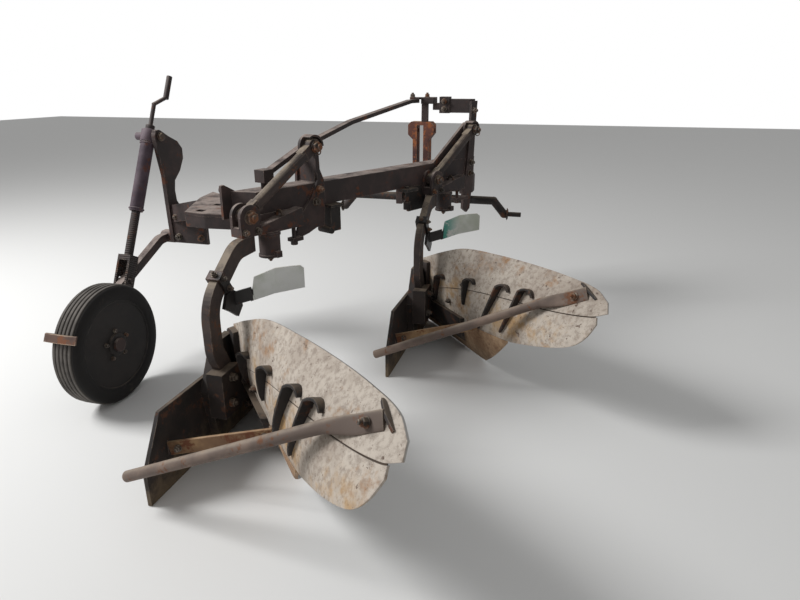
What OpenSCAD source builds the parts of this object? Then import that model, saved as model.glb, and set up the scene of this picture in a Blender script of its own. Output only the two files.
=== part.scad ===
// Two-furrow mounted moldboard plough, right-hand throw.
// +Y is the direction of travel, +X the ploughed side, +Z up.
// The origin is on the ground, on the sole of the rear landside, below the head of the rear leg.

/* [Furrows] */
// Width of one furrow, the sideways step from body to body
furrow_w = 390; // [370:1:410]
// Distance from body to body along the direction of travel
body_gap = 870; // [840:1:900]

/* [Beam] */
// Width of the square hollow beam
beam_w = 80; // [74:1:86]
// Height of the hollow beam
beam_h = 80; // [74:1:86]
// Wall thickness of the beam
beam_wall = 8; // [5:0.5:12]
// Height of the beam's underside above the ground
beam_under = 645; // [635:1:655]
// Side position of the beam's centre line, level with the rear leg's head
beam_x = -35; // [-45:1:-30]
// Place of the beam's rear end along the direction of travel
beam_rear = 85; // [80:1:95]
// Place of the beam's front end along the direction of travel
beam_front = 1215; // [1205:1:1225]

/* [Body carriers] */
// Thickness of the tower and carrier plates
plate_t = 11; // [9:1:12]
// Height of a leg's head top, on which its carrier sits
head_z = 604; // [600:1:606]
// Length of a carrier's channel in front of its fork
channel_len = 182; // [170:1:190]
// Diameter of the upright boss in front of a leg's head
boss_d = 68; // [60:1:72]
// Outside diameter of the inclined struts
strut_d = 38; // [34:1:42]
// Thickness of a strut's eyes
eye_t = 30; // [26:1:34]
// Diameter of the strut pins
strut_pin_d = 20; // [16:1:24]
// Height of the upper strut pins above the ground
tower_pin_z = 850; // [840:1:860]
// Distance of the upper strut pin in front of its leg's head, along the beam
tower_s = 330; // [322:1:338]

/* [Legs] */
// Thickness of a leg, side to side
leg_t = 27; // [22:1:30]
// Width of a leg in its plane
leg_w = 54; // [48:1:58]
// Side position of a leg's middle, from its landside's middle
leg_x = 45; // [43:0.5:47]
// How far a leg's shank lies behind its head
leg_back = 226; // [218:1:234]

/* [Moldboard] */
// Angle of the share edge to the direction of travel
share_angle = 40; // [38:0.5:42]
// Angle added to the surface lines at the height of the crown
crown_twist = 11; // [9:0.5:13]
// Radius of the upright hollow of the moldboard
throat_r = 430; // [400:1:470]
// Height of the deepest line of the hollow
throat_z = 270; // [255:1:285]
// Thickness of the moldboard sheet
board_t = 7; // [5:0.5:9]
// Thickness of the share
share_t = 10; // [8:0.5:12]
// Width of the open seam between the two pieces
seam_gap = 3; // [2:0.5:8]
// Thickness of the hooked ribs on the board's back
rib_t = 8; // [6:0.5:12]
// Depth of the hooked ribs behind the sheet
rib_h = 34; // [26:1:38]

/* [Landside] */
// Length of the landside plate behind the frog
landside_len = 300; // [280:1:320]
// Height of the landside's top edge above the ground
landside_top = 237; // [225:1:250]
// Thickness of the landside plate
landside_t = 12; // [9:1:14]
// Outside diameter of the tube stay
stay_d = 30; // [26:1:34]

/* [Headstock] */
// Distance between the shoulders of the two lower link pins
link_span = 825; // [810:1:840]
// Diameter of the lower link pins
lower_pin_d = 22; // [20:0.5:28]
// Length of a lower link pin outside its shoulder
lower_pin_len = 65; // [55:1:75]
// Height of the lower link pins above the ground
lower_pin_z = 460; // [450:1:470]
// Height of the top link bore above the lower pins
mast_h = 375; // [368:1:382]
// Diameter of the top link bore
top_bore_d = 25.5; // [19:0.5:30]
// Side position of the middle of the headstock
mast_x = 305; // [298:1:312]
// Depth of the cross member along the direction of travel
cross_w = 60; // [52:1:66]
// Height of the cross member
cross_h = 80; // [70:1:84]
// Diameter of the cranked cross shaft
shaft_d = 38; // [32:1:42]

/* [Depth wheel] */
// Outside diameter of the tyre
tyre_d = 412; // [400:1:420]
// Width of the tyre
tyre_w = 92; // [84:1:96]
// Side position of the middle of the wheel
wheel_x = -487; // [-490:1:-484]
// Place of the hub along the direction of travel
wheel_y = -50; // [-56:1:-44]
// Diameter of the stub axle
axle_d = 30; // [25:1:34]
// Thickness of the wheel's arm, side to side
arm_t = 28; // [24:1:30]
// Depth of the wheel's arm
arm_w = 33; // [28:1:38]
// Diameter of the arm's pivot pin
arm_pin_d = 25; // [20:1:28]

/* [Screw jack] */
// Outside diameter of the jack's tube
jack_d = 50; // [46:1:54]
// Diameter of the jack's sliding rod
jack_rod_d = 32; // [28:1:34]
// Length of the jack's tube below its trunnion
jack_tube_len = 300; // [285:1:315]
// Diameter of the pin through the arm
eye_pin_d = 16; // [14:1:20]

/* [Fits] */
// Radial clearance of a pin in its bore
fit = 0.06; // [0.02:0.01:0.1]
// Gap between parts that are set against each other
seat = 0.3; // [0.2:0.05:0.5]
// Clearance between parts that move past each other
swing = 5; // [4:0.5:7]
// Radial clearance of the rod's eye around its pin
eye_play = 5; // [4:0.5:7]

/* [Hidden] */
$fn = 48;
bend_step = 5.5;
beam_yaw = atan2(furrow_w, body_gap);
unit_len = sqrt(furrow_w * furrow_w + body_gap * body_gap);
beam_top = beam_under + beam_h;
face_t = beam_w / 2;
plate_out = face_t + plate_t;
strut_t = plate_out + seat + eye_t / 2;
fork_s = 45;
fork_r = 38;
fork_w = 73;
fork_out = strut_t + eye_t / 2 + seat;
fork_pin_z = head_z + 60;
channel_s = fork_s + fork_w / 2 - 4;
channel_wall = 8;
front_s = unit_len + tower_s;
leg_mid = head_z - leg_w / 2;
foot_z = 262;
frog_x0 = landside_t / 2;
frog_x1 = leg_x - leg_t / 2;
heel_y = -225 - landside_len;
board_back = board_t + seat;
cross_y0 = beam_front;
cross_y1 = beam_front + cross_w;
cross_z1 = beam_under - 5;
cross_z0 = cross_z1 - cross_h;
mast_z = lower_pin_z + mast_h;
shaft_y = beam_front + cross_w / 2;
shaft_z = cross_z0 - 40;
bar_z = mast_z + 84;
wheel_r = tyre_d / 2;
arm_x = -618;
arm_in = arm_x + arm_t / 2;
arm_pivot = [520, 440];
arm_knee = [455, 438];
hub = [wheel_y, wheel_r];
horn_x1 = -570;
horn_x0 = horn_x1 - 16;
trunnion_d = 20;
jack_top = [478, 848];
jack_eye = [222, 337];
jack_lean = atan2(jack_top[0] - jack_eye[0], jack_top[1] - jack_eye[1]);
jack_len = norm(jack_top - jack_eye);
fork_gap = arm_t / 2 + swing;
BODIES = ["rear", "front"];

// Places its children s along the beam and t to its right, at height z.
module on_beam(s = 0, t = 0, z = 0) {
  translate([beam_x, 0, 0])
    rotate([0, 0, -beam_yaw])
      translate([t, s, z])
        children();
}

// Places its children in the rear or the front body.
module at_body(which) {
  k = which == "rear" ? 0 : 1;
  translate([furrow_w * k, body_gap * k, 0])
    children();
}

// Turns a flat shape upright: its x runs forward, its y up and its thickness to the right.
module upright() {
  rotate([90, 0, 90])
    children();
}

// Plate whose outline is given along the beam and upward, t0 to t1 from the beam's middle.
module beam_plate(outline, t0, t1) {
  on_beam(t = t0)
    upright()
      linear_extrude(t1 - t0)
        polygon(outline);
}

// Plate in a plane along the direction of travel, from x0 to x1, outline in y and z.
module side_plate(outline, x0, x1) {
  translate([x0, 0, 0])
    upright()
      linear_extrude(x1 - x0)
        polygon(outline);
}

// Cylinder along X from x0 to x1 at the given place.
module x_cyl(d, x0, x1, y, z) {
  translate([x0, y, z])
    rotate([0, 90, 0])
      cylinder(d = d, h = x1 - x0);
}

// Cylinder across the beam from t0 to t1.
module t_cyl(d, t0, t1, s, z) {
  on_beam(s = s, t = t0, z = z)
    rotate([0, 90, 0])
      cylinder(d = d, h = t1 - t0);
}

// Round bar between two points.
module rod_between(a, b, d) {
  v = b - a;
  span = norm(v);
  translate(a)
    rotate([0, acos(v[2] / span), atan2(v[1], v[0])])
      cylinder(d = d, h = span);
}

// Flat bar between two points, w wide and h deep.
module bar_between(a, b, w, h) {
  v = b - a;
  translate(a)
    rotate([0, 0, atan2(v[1], v[0])])
      rotate([0, -atan2(v[2], norm([v[0], v[1]])), 0])
        translate([0, -w / 2, -h / 2])
          cube([norm(v), w, h]);
}

// Places and headings along a flat path whose corners are rounded with the radii r.
function bent_line(path, r) = let (
  n = len(path) - 1,
  heading = [for (i = [0:n - 1]) let (d = path[i + 1] - path[i]) atan2(d[1], d[0])]
) [
  [path[0], heading[0]],
  for (i = [1:1:n - 1])
    let (
      turn = (heading[i] - heading[i - 1] + 540) % 360 - 180,
      side = turn > 0 ? r[i - 1] : -r[i - 1],
      h = heading[i - 1],
      start = path[i] - r[i - 1] * tan(abs(turn) / 2) * [cos(h), sin(h)],
      centre = start + side * [-sin(h), cos(h)],
      steps = ceil(abs(turn) / bend_step)
    )
      for (k = [0:steps])
        let (g = h + turn * k / steps)
          [centre + side * [sin(g), -cos(g)], g],
  [path[n], heading[n - 1]]
];

// Outline of a flat bar w wide along such a path.
function bar_outline(path, r, w) = let (line = bent_line(path, r), n = len(line) - 1) [
  for (p = line) p[0] + w / 2 * [-sin(p[1]), cos(p[1])],
  for (i = [0:n]) let (p = line[n - i]) p[0] - w / 2 * [-sin(p[1]), cos(p[1])]
];

// Bar cut from plate along a path in y and z, w wide and thick side to side about x = 0.
module bent_bar(path, r, w, thick) {
  translate([-thick / 2, 0, 0])
    upright()
      linear_extrude(thick)
        polygon(bar_outline(path, r, w));
}

// Main beam, a square hollow section with its rear end cut square to the direction of travel.
module main_beam() {
  color([0.30, 0.20, 0.17])
    difference() {
      on_beam(t = -beam_w / 2, z = beam_under)
        cube([beam_w, 2 * unit_len, beam_h]);
      intersection() {
        on_beam(t = beam_wall - beam_w / 2, z = beam_under + beam_wall)
          cube([beam_w - 2 * beam_wall, 2 * unit_len, beam_h - 2 * beam_wall]);
        translate([-furrow_w, beam_rear + beam_wall, 0])
          cube([4 * furrow_w, 3 * body_gap, beam_top]);
      }
      translate([-furrow_w, beam_rear - body_gap, 0])
        cube([2 * furrow_w, body_gap, 2 * beam_top]);
      translate([0, beam_front, 0])
        cube([4 * furrow_w, body_gap, 2 * beam_top]);
    }
}

// Stop box in front of the rear tower, and the plate and lug behind the front body's head.
module beam_brackets() {
  s0 = tower_s + 72;
  color([0.20, 0.15, 0.14]) {
    difference() {
      on_beam(s = s0, t = 8, z = beam_under - 95)
        cube([60, 48, 95]);
      on_beam(s = s0 + 7, t = 15, z = beam_under - 96)
        cube([46, 34, 88]);
    }
    on_beam(s = s0 - 6, t = 8, z = beam_under - 8)
      cube([70, 64, 8]);
    t_cyl(26, 8, 68, s0 + 4, beam_under - 90);
    on_beam(s = unit_len - 82, t = face_t - plate_t, z = beam_under - 100)
      cube([plate_t, 112, 100]);
    on_beam(s = unit_len - 134, t = face_t - plate_t, z = beam_under - 12)
      cube([46, 70, 12]);
    on_beam(s = unit_len - 112, t = face_t + 16, z = beam_under - 78)
      cylinder(d = 16, h = 86);
    on_beam(s = unit_len - 112, t = face_t + 16, z = beam_under - 84)
      cylinder(d = 30, h = 30);
  }
}

// Hood over a strut's upper eye, the strut's pin, and the bolt lug at the tower's foot.
module tower_fittings(s0, lug_len) {
  difference() {
    t_cyl(2 * fork_r, face_t, plate_out + eye_t + 2, s0, tower_pin_z);
    t_cyl(2 * fork_r - 12, plate_out, plate_out + eye_t + 10, s0, tower_pin_z);
    on_beam(s = s0, t = plate_out, z = tower_pin_z)
      rotate([35, 0, 0])
        translate([0, -3 * fork_r, -2 * fork_r])
          cube([eye_t + 10, 3 * fork_r, 5 * fork_r]);
    on_beam(s = s0 - 2 * fork_r, t = plate_out, z = tower_pin_z - 2 * fork_r)
      cube([eye_t + 10, 4 * fork_r, 2 * fork_r]);
  }
  t_cyl(strut_pin_d, face_t, strut_t + eye_t / 2 + 5, s0, tower_pin_z);
  on_beam(s = s0 - 105, t = face_t, z = beam_under - 98)
    cube([30, lug_len, 12]);
  on_beam(s = s0 - 95, t = strut_t - 4, z = beam_under - 90)
    cylinder(d = 14, h = head_z - 4 - beam_under + 90);
  on_beam(s = s0 - 95, t = strut_t - 4, z = beam_under - 108)
    cylinder(d = 24, h = 10, $fn = 6);
}

// Rear tower: a leaning plate on each side of the beam, and a web between them over it.
module rear_tower() {
  s0 = tower_s;
  web_top = tower_pin_z - 26;
  color([0.33, 0.22, 0.19]) {
    beam_plate([
      [s0 - 77, beam_under - 98], [s0 - 17, beam_under - 85], [s0 + 22, beam_under - 71],
      [s0 + 55, beam_under - 73], [s0 + 65, beam_under + 17], [s0 + 63, beam_top + 7],
      [s0 + 45, beam_top + 45], [s0 + 42, tower_pin_z], [s0 + 22, tower_pin_z],
      [s0 + 28, beam_top + 45], [s0 + 35, beam_top + 10], [s0 - 4, beam_under + 27],
      [s0 - 48, beam_under - 17], [s0 - 59, beam_under - 49]
    ], face_t, plate_out);
    beam_plate([
      [s0 - 18, beam_under - 25], [s0 + 55, beam_under - 25], [s0 + 63, beam_top + 7],
      [s0 + 45, web_top], [s0 + 24, web_top], [s0 + 20, beam_top]
    ], -plate_out, -face_t);
    on_beam(s = s0 + 29, t = -face_t, z = beam_top)
      cube([beam_w, 12, web_top - beam_top]);
    tower_fittings(s0, 45);
  }
}

// Front tower: the headstock's right upright, with its web on the beam.
module front_tower() {
  s0 = front_s;
  color([0.36, 0.25, 0.21]) {
    beam_plate([
      [s0 + 6, beam_under - 167], [s0 + 30, beam_under - 152], [s0 + 41, beam_under - 69],
      [s0 + 48, beam_top - 13], [s0 + 54, tower_pin_z], [s0 + 62, bar_z + 51],
      [s0 + 15, bar_z + 51], [s0 + 12, tower_pin_z], [s0 - 2, beam_top - 8],
      [s0 - 17, beam_under - 61], [s0 - 29, beam_under - 145]
    ], face_t, plate_out);
    beam_plate([
      [s0 - 250, beam_top], [s0 + 44, beam_top], [s0 + 50, tower_pin_z + 30], [s0 - 16, tower_pin_z + 30]
    ], face_t - plate_t, face_t + 1);
    tower_fittings(s0, 95);
  }
}

// Cross member in front of the beam, with the two bearings of the cross shaft below it.
module headstock_crossmember() {
  lug_w = 30;
  end_x = beam_x + beam_front * tan(beam_yaw) + face_t / cos(beam_yaw);
  color([0.28, 0.18, 0.16])
    difference() {
      union() {
        translate([mast_x - 155, cross_y0, cross_z0])
          cube([end_x - mast_x + 155, cross_w, cross_h]);
        translate([end_x - 88, cross_y0, cross_z0])
          cube([88, 12, beam_top - cross_z0]);
        intersection() {
          on_beam(s = front_s, t = face_t - 30, z = cross_z0)
            cube([30, 120, beam_under - cross_z0]);
          cube([2 * furrow_w, cross_y0, beam_under]);
        }
        for (x = [mast_x - 125, mast_x + 195])
          translate([x, cross_y0, shaft_z - 32])
            cube([lug_w, cross_w, cross_z0 - shaft_z + 32]);
      }
      x_cyl(shaft_d + 2 * fit, mast_x - 200, mast_x + 300, shaft_y, shaft_z);
    }
}

// Top link mast: an upside-down U on the cross member, with the top link bore in its cap.
module headstock_mast() {
  slot = [mast_x - 23, mast_x + 7];
  outline = [
    [slot[0] - 20, cross_z1], [slot[0] - 20, mast_z - 40], [slot[0] - 43, mast_z - 18],
    [slot[0] - 43, mast_z + 26], [slot[0] - 29, mast_z + 40], [slot[1] + 35, mast_z + 40],
    [slot[1] + 49, mast_z + 26], [slot[1] + 49, mast_z - 12], [slot[1] + 27, mast_z - 40],
    [slot[1] + 27, cross_z1], [slot[1], cross_z1], [slot[1], mast_z + 24],
    [slot[0], mast_z + 24], [slot[0], cross_z1]
  ];
  color([0.55, 0.33, 0.20])
    difference() {
      translate([0, cross_y1, 0])
        rotate([90, 0, 0])
          linear_extrude(cross_w)
            polygon(outline);
      x_cyl(top_bore_d, mast_x - 80, mast_x + 80, shaft_y, mast_z);
    }
}

// Top bar from the right upright across to the mast, its clamp, and the link down to the mast.
module headstock_top_bar() {
  bar_y = cross_y0 - 47;
  upright_x = beam_x + (beam_front - 25) * tan(beam_yaw) + face_t / cos(beam_yaw);
  color([0.25, 0.17, 0.15]) {
    difference() {
      translate([mast_x + 137, bar_y, bar_z])
        cube([upright_x - mast_x - 100, 41, 59]);
      on_beam(s = front_s - 100, t = face_t, z = bar_z - 10)
        cube([100, 250, 100]);
    }
    translate([mast_x + 92, bar_y - 5, bar_z - 2])
      cube([45, 52, 70]);
    translate([mast_x + 60, bar_y + 6, bar_z + 11])
      cube([32, 30, 30]);
    translate([mast_x + 7, bar_y - 4, bar_z + 37])
      cube([58, 82, 28]);
    translate([mast_x - 3, cross_y0 + 4, mast_z + 40])
      cube([28, 27, bar_z - mast_z]);
    translate([mast_x - 36, bar_y - 38, bar_z + 56.5])
      cube([44, 80, 8.5]);
  }
}

// Cranked cross shaft with a lower link pin at each end.
module cross_shaft() {
  half = link_span / 2;
  knee = half - 66;
  collar = half - 14;
  color([0.22, 0.18, 0.17]) {
    x_cyl(shaft_d, mast_x - knee, mast_x + knee, shaft_y, shaft_z);
    for (side = [-1, 1]) {
      a = [mast_x + side * knee, shaft_y, shaft_z];
      b = [mast_x + side * collar, shaft_y, lower_pin_z];
      rod_between(a, b, shaft_d - 1);
      for (p = [a, b])
        translate(p)
          sphere(d = shaft_d + 1);
      translate([mast_x + side * (half - 7), shaft_y, lower_pin_z])
        rotate([0, 90, 0])
          cylinder(d = shaft_d, h = 14, center = true);
      translate([mast_x + side * (half + lower_pin_len / 2), shaft_y, lower_pin_z])
        rotate([0, 90, 0])
          cylinder(d = lower_pin_d, h = lower_pin_len, center = true);
    }
  }
}

// Backstay: a flat bar from the beam's rear end over the rear tower to the headstock's top.
module backstay() {
  foot = [33, 140];
  yaw = atan2(mast_x - 43, cross_y0 - 201);
  rise = beam_top + 59;
  path = [
    [12, rise - 20], [70, rise + 1], [213, rise + 52], [517, rise + 121],
    [980, bar_z + 49], [1050, bar_z + 49]
  ];
  color([0.27, 0.18, 0.16])
    translate([foot[0], foot[1], 0])
      rotate([0, 0, -yaw]) {
        bent_bar(path, [40, 120, 200, 120], 15, 26);
        translate([-20, 0, rise - 38])
          cube([40, 46, 40]);
        translate([0, 22, beam_top])
          cylinder(d = 24, h = 30);
      }
}

// Body carrier: a fork over the leg's head, the channel forward to the tower, and a boss.
module carrier(which) {
  color([0.30, 0.22, 0.19])
    at_body(which) {
      for (t = [[face_t, plate_out], [fork_out, fork_out + plate_t]]) {
        t_cyl(2 * fork_r, t[0], t[1], fork_s, fork_pin_z);
        on_beam(s = fork_s - fork_r, t = t[0], z = head_z)
          cube([t[1] - t[0], fork_w, 62]);
      }
      on_beam(s = fork_s - fork_r, t = face_t, z = head_z)
        cube([fork_out - face_t, fork_w, 30]);
      t_cyl(strut_pin_d, face_t, fork_out + plate_t + 4, fork_s, fork_pin_z);
      on_beam(s = channel_s, t = face_t, z = head_z - 4)
        cube([plate_t, channel_len - 20, 55]);
      on_beam(s = tower_s - 113, t = plate_out, z = head_z - 4)
        cube([eye_t, 36, channel_wall]);
      difference() {
        beam_plate([
          [channel_s, head_z - 4], [channel_s + channel_len, head_z - 4],
          [channel_s + channel_len, head_z + 57], [channel_s + channel_len - 12, head_z + 57],
          [channel_s, head_z + 21]
        ], plate_out - 1, fork_out + 4.4);
        beam_plate([
          [channel_s + 36, head_z + 4], [channel_s + channel_len + 1, head_z + 4],
          [channel_s + channel_len + 1, head_z + 57 - channel_wall],
          [channel_s + channel_len - 12, head_z + 57 - channel_wall], [channel_s + 36, head_z + 29 - channel_wall]
        ], plate_out - 2, fork_out + 4.4 - channel_wall);
      }
      on_beam(s = 130, t = 65.5, z = 522) {
        cylinder(d = boss_d, h = head_z - 522);
        cylinder(d = boss_d + 6, h = 8);
        translate([0, 0, head_z - 534])
          cylinder(d = boss_d + 6, h = 8);
        translate([22, -10, 2])
          cube([26, 20, 20]);
      }
    }
}

// Inclined strut, a tube with a flat eye at each end.
module strut(which) {
  rise = atan2(tower_pin_z - fork_pin_z, tower_s - fork_s);
  span = norm([tower_s - fork_s, tower_pin_z - fork_pin_z]);
  neck = fork_r + swing;
  color([0.38, 0.30, 0.27])
    at_body(which)
      on_beam(s = fork_s, t = strut_t, z = fork_pin_z)
        rotate([rise, 0, 0])
          difference() {
            union() {
              translate([0, neck + 2, 0])
                rotate([-90, 0, 0])
                  cylinder(d = strut_d, h = span - 2 * neck - 4);
              for (e = [0, 1])
                translate([0, e * span, 0]) {
                  rotate([0, 90, 0])
                    cylinder(d = 50, h = eye_t, center = true);
                  translate([-eye_t / 2, e * -(neck + 14), -strut_d / 2 + 1])
                    cube([eye_t, neck + 14, strut_d - 2]);
                }
            }
            for (e = [0, 1])
              translate([0, e * span, 0])
                rotate([0, 90, 0])
                  cylinder(d = strut_pin_d + 2 * fit, h = 2 * eye_t, center = true);
          }
}

// Leg: a bent bar from its carrier back and down to the frog, its foot cut level.
module leg(which) {
  path = [
    [35, leg_mid], [-65, leg_mid], [-leg_back, 466], [-leg_back, 318], [-leg_back + 52, 221]
  ];
  color([0.27, 0.22, 0.20])
    at_body(which)
      difference() {
        translate([leg_x, 0, 0])
          bent_bar(path, [90, 110, 80], leg_w, leg_t);
        translate([leg_x - leg_t, -leg_back - leg_w, 0])
          cube([2 * leg_t, 3 * leg_w, foot_z]);
      }
}

// Height of the surface's set-back behind the share edge.
function set_back(z) = sqrt(throat_r * throat_r - pow(z - throat_z, 2))
  - sqrt(throat_r * throat_r - throat_z * throat_z);
// Angle of the straight surface line at height z.
function line_angle(z) = share_angle + crown_twist * pow(max(z, 0) / 440, 3);
// Place of the working surface along the travel direction at side x and height z.
function board_y(x, z) = let (
  back = set_back(z),
  px = 250 - cos(share_angle) * back,
  py = -176 - sin(share_angle) * back
) py - (x - px) / tan(line_angle(z));
// Point of the surface, moved behind it by depth.
function board_pt(x, z, depth = 0) = let (
  g = line_angle(z),
  lean = atan2(set_back(z + 4) - set_back(z - 4), 8)
) [
  x - depth * cos(g) * cos(lean),
  board_y(x, z) - depth * sin(g) * cos(lean),
  z + depth * sin(lean)
];

// Curved sheet between a lower and an upper edge, each a table of side place and height.
module board_sheet(low, high, x0, x1, steps, rows, front, back) {
  n = rows + 1;
  pts = [
    for (side = [front, back], i = [0:steps], j = [0:rows])
      let (
        x = x0 + (x1 - x0) * i / steps,
        z = lookup(x, low) + (lookup(x, high) - lookup(x, low)) * j / rows
      ) board_pt(x, z, side)
  ];
  m = (steps + 1) * n;
  grid = [
    for (i = [0:steps - 1], j = [0:rows - 1])
      let (a = i * n + j, b = m + a)
        each [[a + n, a + 1, a], [a + n, a + n + 1, a + 1], [b + 1, b + n, b], [b + n + 1, b + n, b + 1]]
  ];
  long_edges = [
    for (i = [0:steps - 1], j = [0, rows])
      let (a = i * n + j, b = m + a, flip = j == 0)
        each [flip ? [b, a + n, a] : [a + n, b, a], flip ? [b + n, a + n, b] : [a + n, b + n, b]]
  ];
  short_edges = [
    for (i = [0, steps], j = [0:rows - 1])
      let (a = i * n + j, b = m + a, flip = i == 0)
        each [flip ? [j + 1, m + j, j] : [b, a + 1, a], flip ? [m + j + 1, m + j, j + 1] : [b, b + 1, a + 1]]
  ];
  polyhedron(points = pts, faces = concat(grid, long_edges, short_edges), convexity = 6);
}

// Rib on the board's back from a to b, w wide; its depth is a table over its length.
module board_rib(a, b, w, deep) {
  n = 10;
  v = b - a;
  side = [v[1], -v[0]] / norm(v) * w / 2;
  bed = board_back + w * w / (8 * throat_r);
  pts = [
    for (i = [0:n])
      let (p = a + v * i / n, d = bed + lookup(i / n, deep))
        for (c = [[-1, bed], [1, bed], [1, d], [-1, d]])
          board_pt(p[0] + c[0] * side[0], p[1] + c[0] * side[1], c[1])
  ];
  quads = [
    [3, 2, 1, 0], [4 * n + 2, 4 * n + 3, 4 * n, 4 * n + 1],
    for (i = [0:n - 1])
      let (k = 4 * i)
        each [
          [k, k + 1, k + 5, k + 4], [k + 7, k + 6, k + 2, k + 3],
          [k + 2, k + 6, k + 5, k + 1], [k + 7, k + 3, k, k + 4]
        ]
  ];
  faces = [for (q = quads) each [[q[0], q[1], q[2]], [q[0], q[2], q[3]]]];
  polyhedron(points = pts, faces = faces, convexity = 4);
}

// Edges as [side place, height].
top_edge = [[38, 352], [130, 402], [233, 442], [370, 455], [520, 458], [640, 454], [715, 445], [745, 425]];
seam = [[38, 205], [140, 262], [220, 294], [300, 316], [420, 338], [580, 360], [700, 384], [745, 402]];
tail_edge = [[60, 134], [443, 214], [520, 240], [600, 272], [655, 302], [690, 336], [715, 372]];
share_top = [[0, 116], [60, 126], [443, 206]];
share_low = [[0, 0], [340, 0], [443, 198]];

module moldboard_upper(which) {
  low = [for (p = seam) [p[0], p[1] + seam_gap / 2]];
  color([0.62, 0.57, 0.50])
    at_body(which)
      board_sheet(low, top_edge, 38, 745, 28, 8, 0, board_t);
}

module moldboard_lower(which) {
  high = [for (p = seam) [p[0], p[1] - seam_gap / 2]];
  color([0.60, 0.55, 0.48])
    at_body(which)
      board_sheet(tail_edge, high, 60, 715, 26, 8, 0, board_t);
}

// Share: the cutting strip below the moldboard.
module share(which) {
  color([0.50, 0.33, 0.22])
    at_body(which)
      board_sheet(share_low, share_top, 0, 443, 18, 6, 0, share_t);
}

// Frog: side plate, foot block under the leg, and the pad that carries share and moldboard.
module frog(which) {
  block_y0 = -leg_back - 36;
  block_w = 92;
  above_share = [for (p = share_top) [p[0], p[1] + 4]];
  color([0.16, 0.14, 0.13])
    at_body(which) {
      side_plate([
        [-225, 20], [0, 20], [-40, 90], [-96, 250], [-104, 330], [-190, 330], [block_y0, 200]
      ], frog_x0, frog_x1);
      translate([frog_x1, block_y0, foot_z - 142])
        cube([52, block_w, 142]);
      side_plate([
        [block_y0 + 12, foot_z - 132], [block_y0, foot_z], [block_y0 + 97, foot_z],
        [block_y0 + 114, foot_z - 37], [block_y0 + 157, foot_z - 132]
      ], frog_x1 + 40, frog_x1 + 52);
      intersection() {
        union() {
          board_sheet([[0, 60]], [for (p = above_share) p + [0, 6]], 20, 260, 12, 5, share_t + 2 * seat, 28);
          board_sheet(above_share, [[86, 232], [108, 186], [300, 190]], 20, 260, 30, 5, board_back + seat, 28);
          board_sheet([[0, 200]], [[20, 330], [40, 350]], 20, 78, 4, 8, board_back, 24);
        }
        translate([frog_x0, -furrow_w, 0])
          cube([furrow_w, 2 * furrow_w, head_z]);
      }
    }
}

// Landside: the tall plate that runs along the furrow wall.
module landside(which) {
  color([0.15, 0.13, 0.12])
    at_body(which)
      side_plate([
        [88, 0], [heel_y, 0], [heel_y, 100], [heel_y + 82, landside_top], [-75, landside_top],
        [-50, 190], [-15, 120], [28, 60]
      ], -landside_t / 2, landside_t / 2);
}

// Hooked ribs on the back of the moldboard.
module board_brackets(which) {
  slope = [[0, 0.25 * rib_h], [0.5, 0.6 * rib_h], [0.85, rib_h], [1, 0.9 * rib_h]];
  hook = [[0, 0.9 * rib_h], [1, 0.45 * rib_h]];
  ribs = [
    [[115, 201], [135, 307], [148, 318]],
    [[257, 250], [271, 342], [290, 352]],
    [[329, 195], [405, 368], [427, 374]],
    [[419, 229], [487, 380], [512, 386]],
    [[706, 428], [678, 446], [668, 447]]
  ];
  color([0.22, 0.19, 0.17])
    at_body(which)
      for (p = ribs) {
        board_rib(p[0], p[1], rib_t, slope);
        board_rib(p[1] - 0.2 * (p[2] - p[1]), p[2], rib_t + 6, hook);
      }
}

// Tube stay from behind the landside's heel to the wing of the moldboard.
module tube_stay(which) {
  a = [-40, heel_y - stay_d / 2 - 1, 97];
  b = board_pt(594, 388, board_back + 26);
  color([0.45, 0.36, 0.30])
    at_body(which) {
      rod_between(a, b, stay_d);
      translate([frog_x0, heel_y - 31, 90])
        cube([8, 86, 40]);
      board_rib([582, 382], [672, 424], 36, [[0, 34], [0.3, 24], [0.5, 10], [1, 7]]);
    }
}

// Flat stay between the landside and the lower piece, with its foot on the sheet.
module flat_stay(which) {
  a = [0, heel_y + 95, 122];
  b = board_pt(290, 220, board_back + 10);
  color([0.62, 0.42, 0.28])
    at_body(which) {
      intersection() {
        bar_between(a, b, 10, 40);
        translate([frog_x0, 2 * heel_y, 0])
          cube([furrow_w, -2 * heel_y, 400]);
      }
      board_rib([272, 216], [310, 226], 40, [[0, 14], [0.6, 14], [1, 9]]);
    }
}

// Trashboard: a bent plate on an arm, clamped round the leg.
module trashboard(which) {
  strap = 8;
  lean = 34.6;
  clamp_y = -165;
  clamp_z = leg_mid - (-65 - clamp_y) * tan(lean);
  arm_x0 = leg_x + leg_t / 2 + seat;
  plate = [112, -114];
  color([0.66, 0.66, 0.64])
    at_body(which) {
      translate([leg_x, clamp_y, clamp_z])
        rotate([lean, 0, 0])
          difference() {
            cube([leg_t + 2 * seat + 2 * strap, 32, leg_w + 2 * seat + 2 * strap], center = true);
            cube([leg_t + 2 * seat, 40, leg_w + 2 * seat], center = true);
          }
      side_plate([
        [-168, 474], [-139, 483], [-98, 456], [-88, 414], [-116, 389], [-151, 415], [-186, 437]
      ], arm_x0, arm_x0 + 10);
      bar_between([arm_x0 + 4, -124, 448], [plate[0] + 8, plate[1] + 2, 466], 10, 38);
      translate([plate[0], plate[1], 0])
        rotate([0, 0, 25])
          rotate([90, 0, 0])
            linear_extrude(6, center = true)
              polygon([
                [0, 441], [71, 462], [160, 476], [160, 535], [149, 544], [120, 543], [76, 539], [14, 515]
              ]);
    }
}

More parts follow.
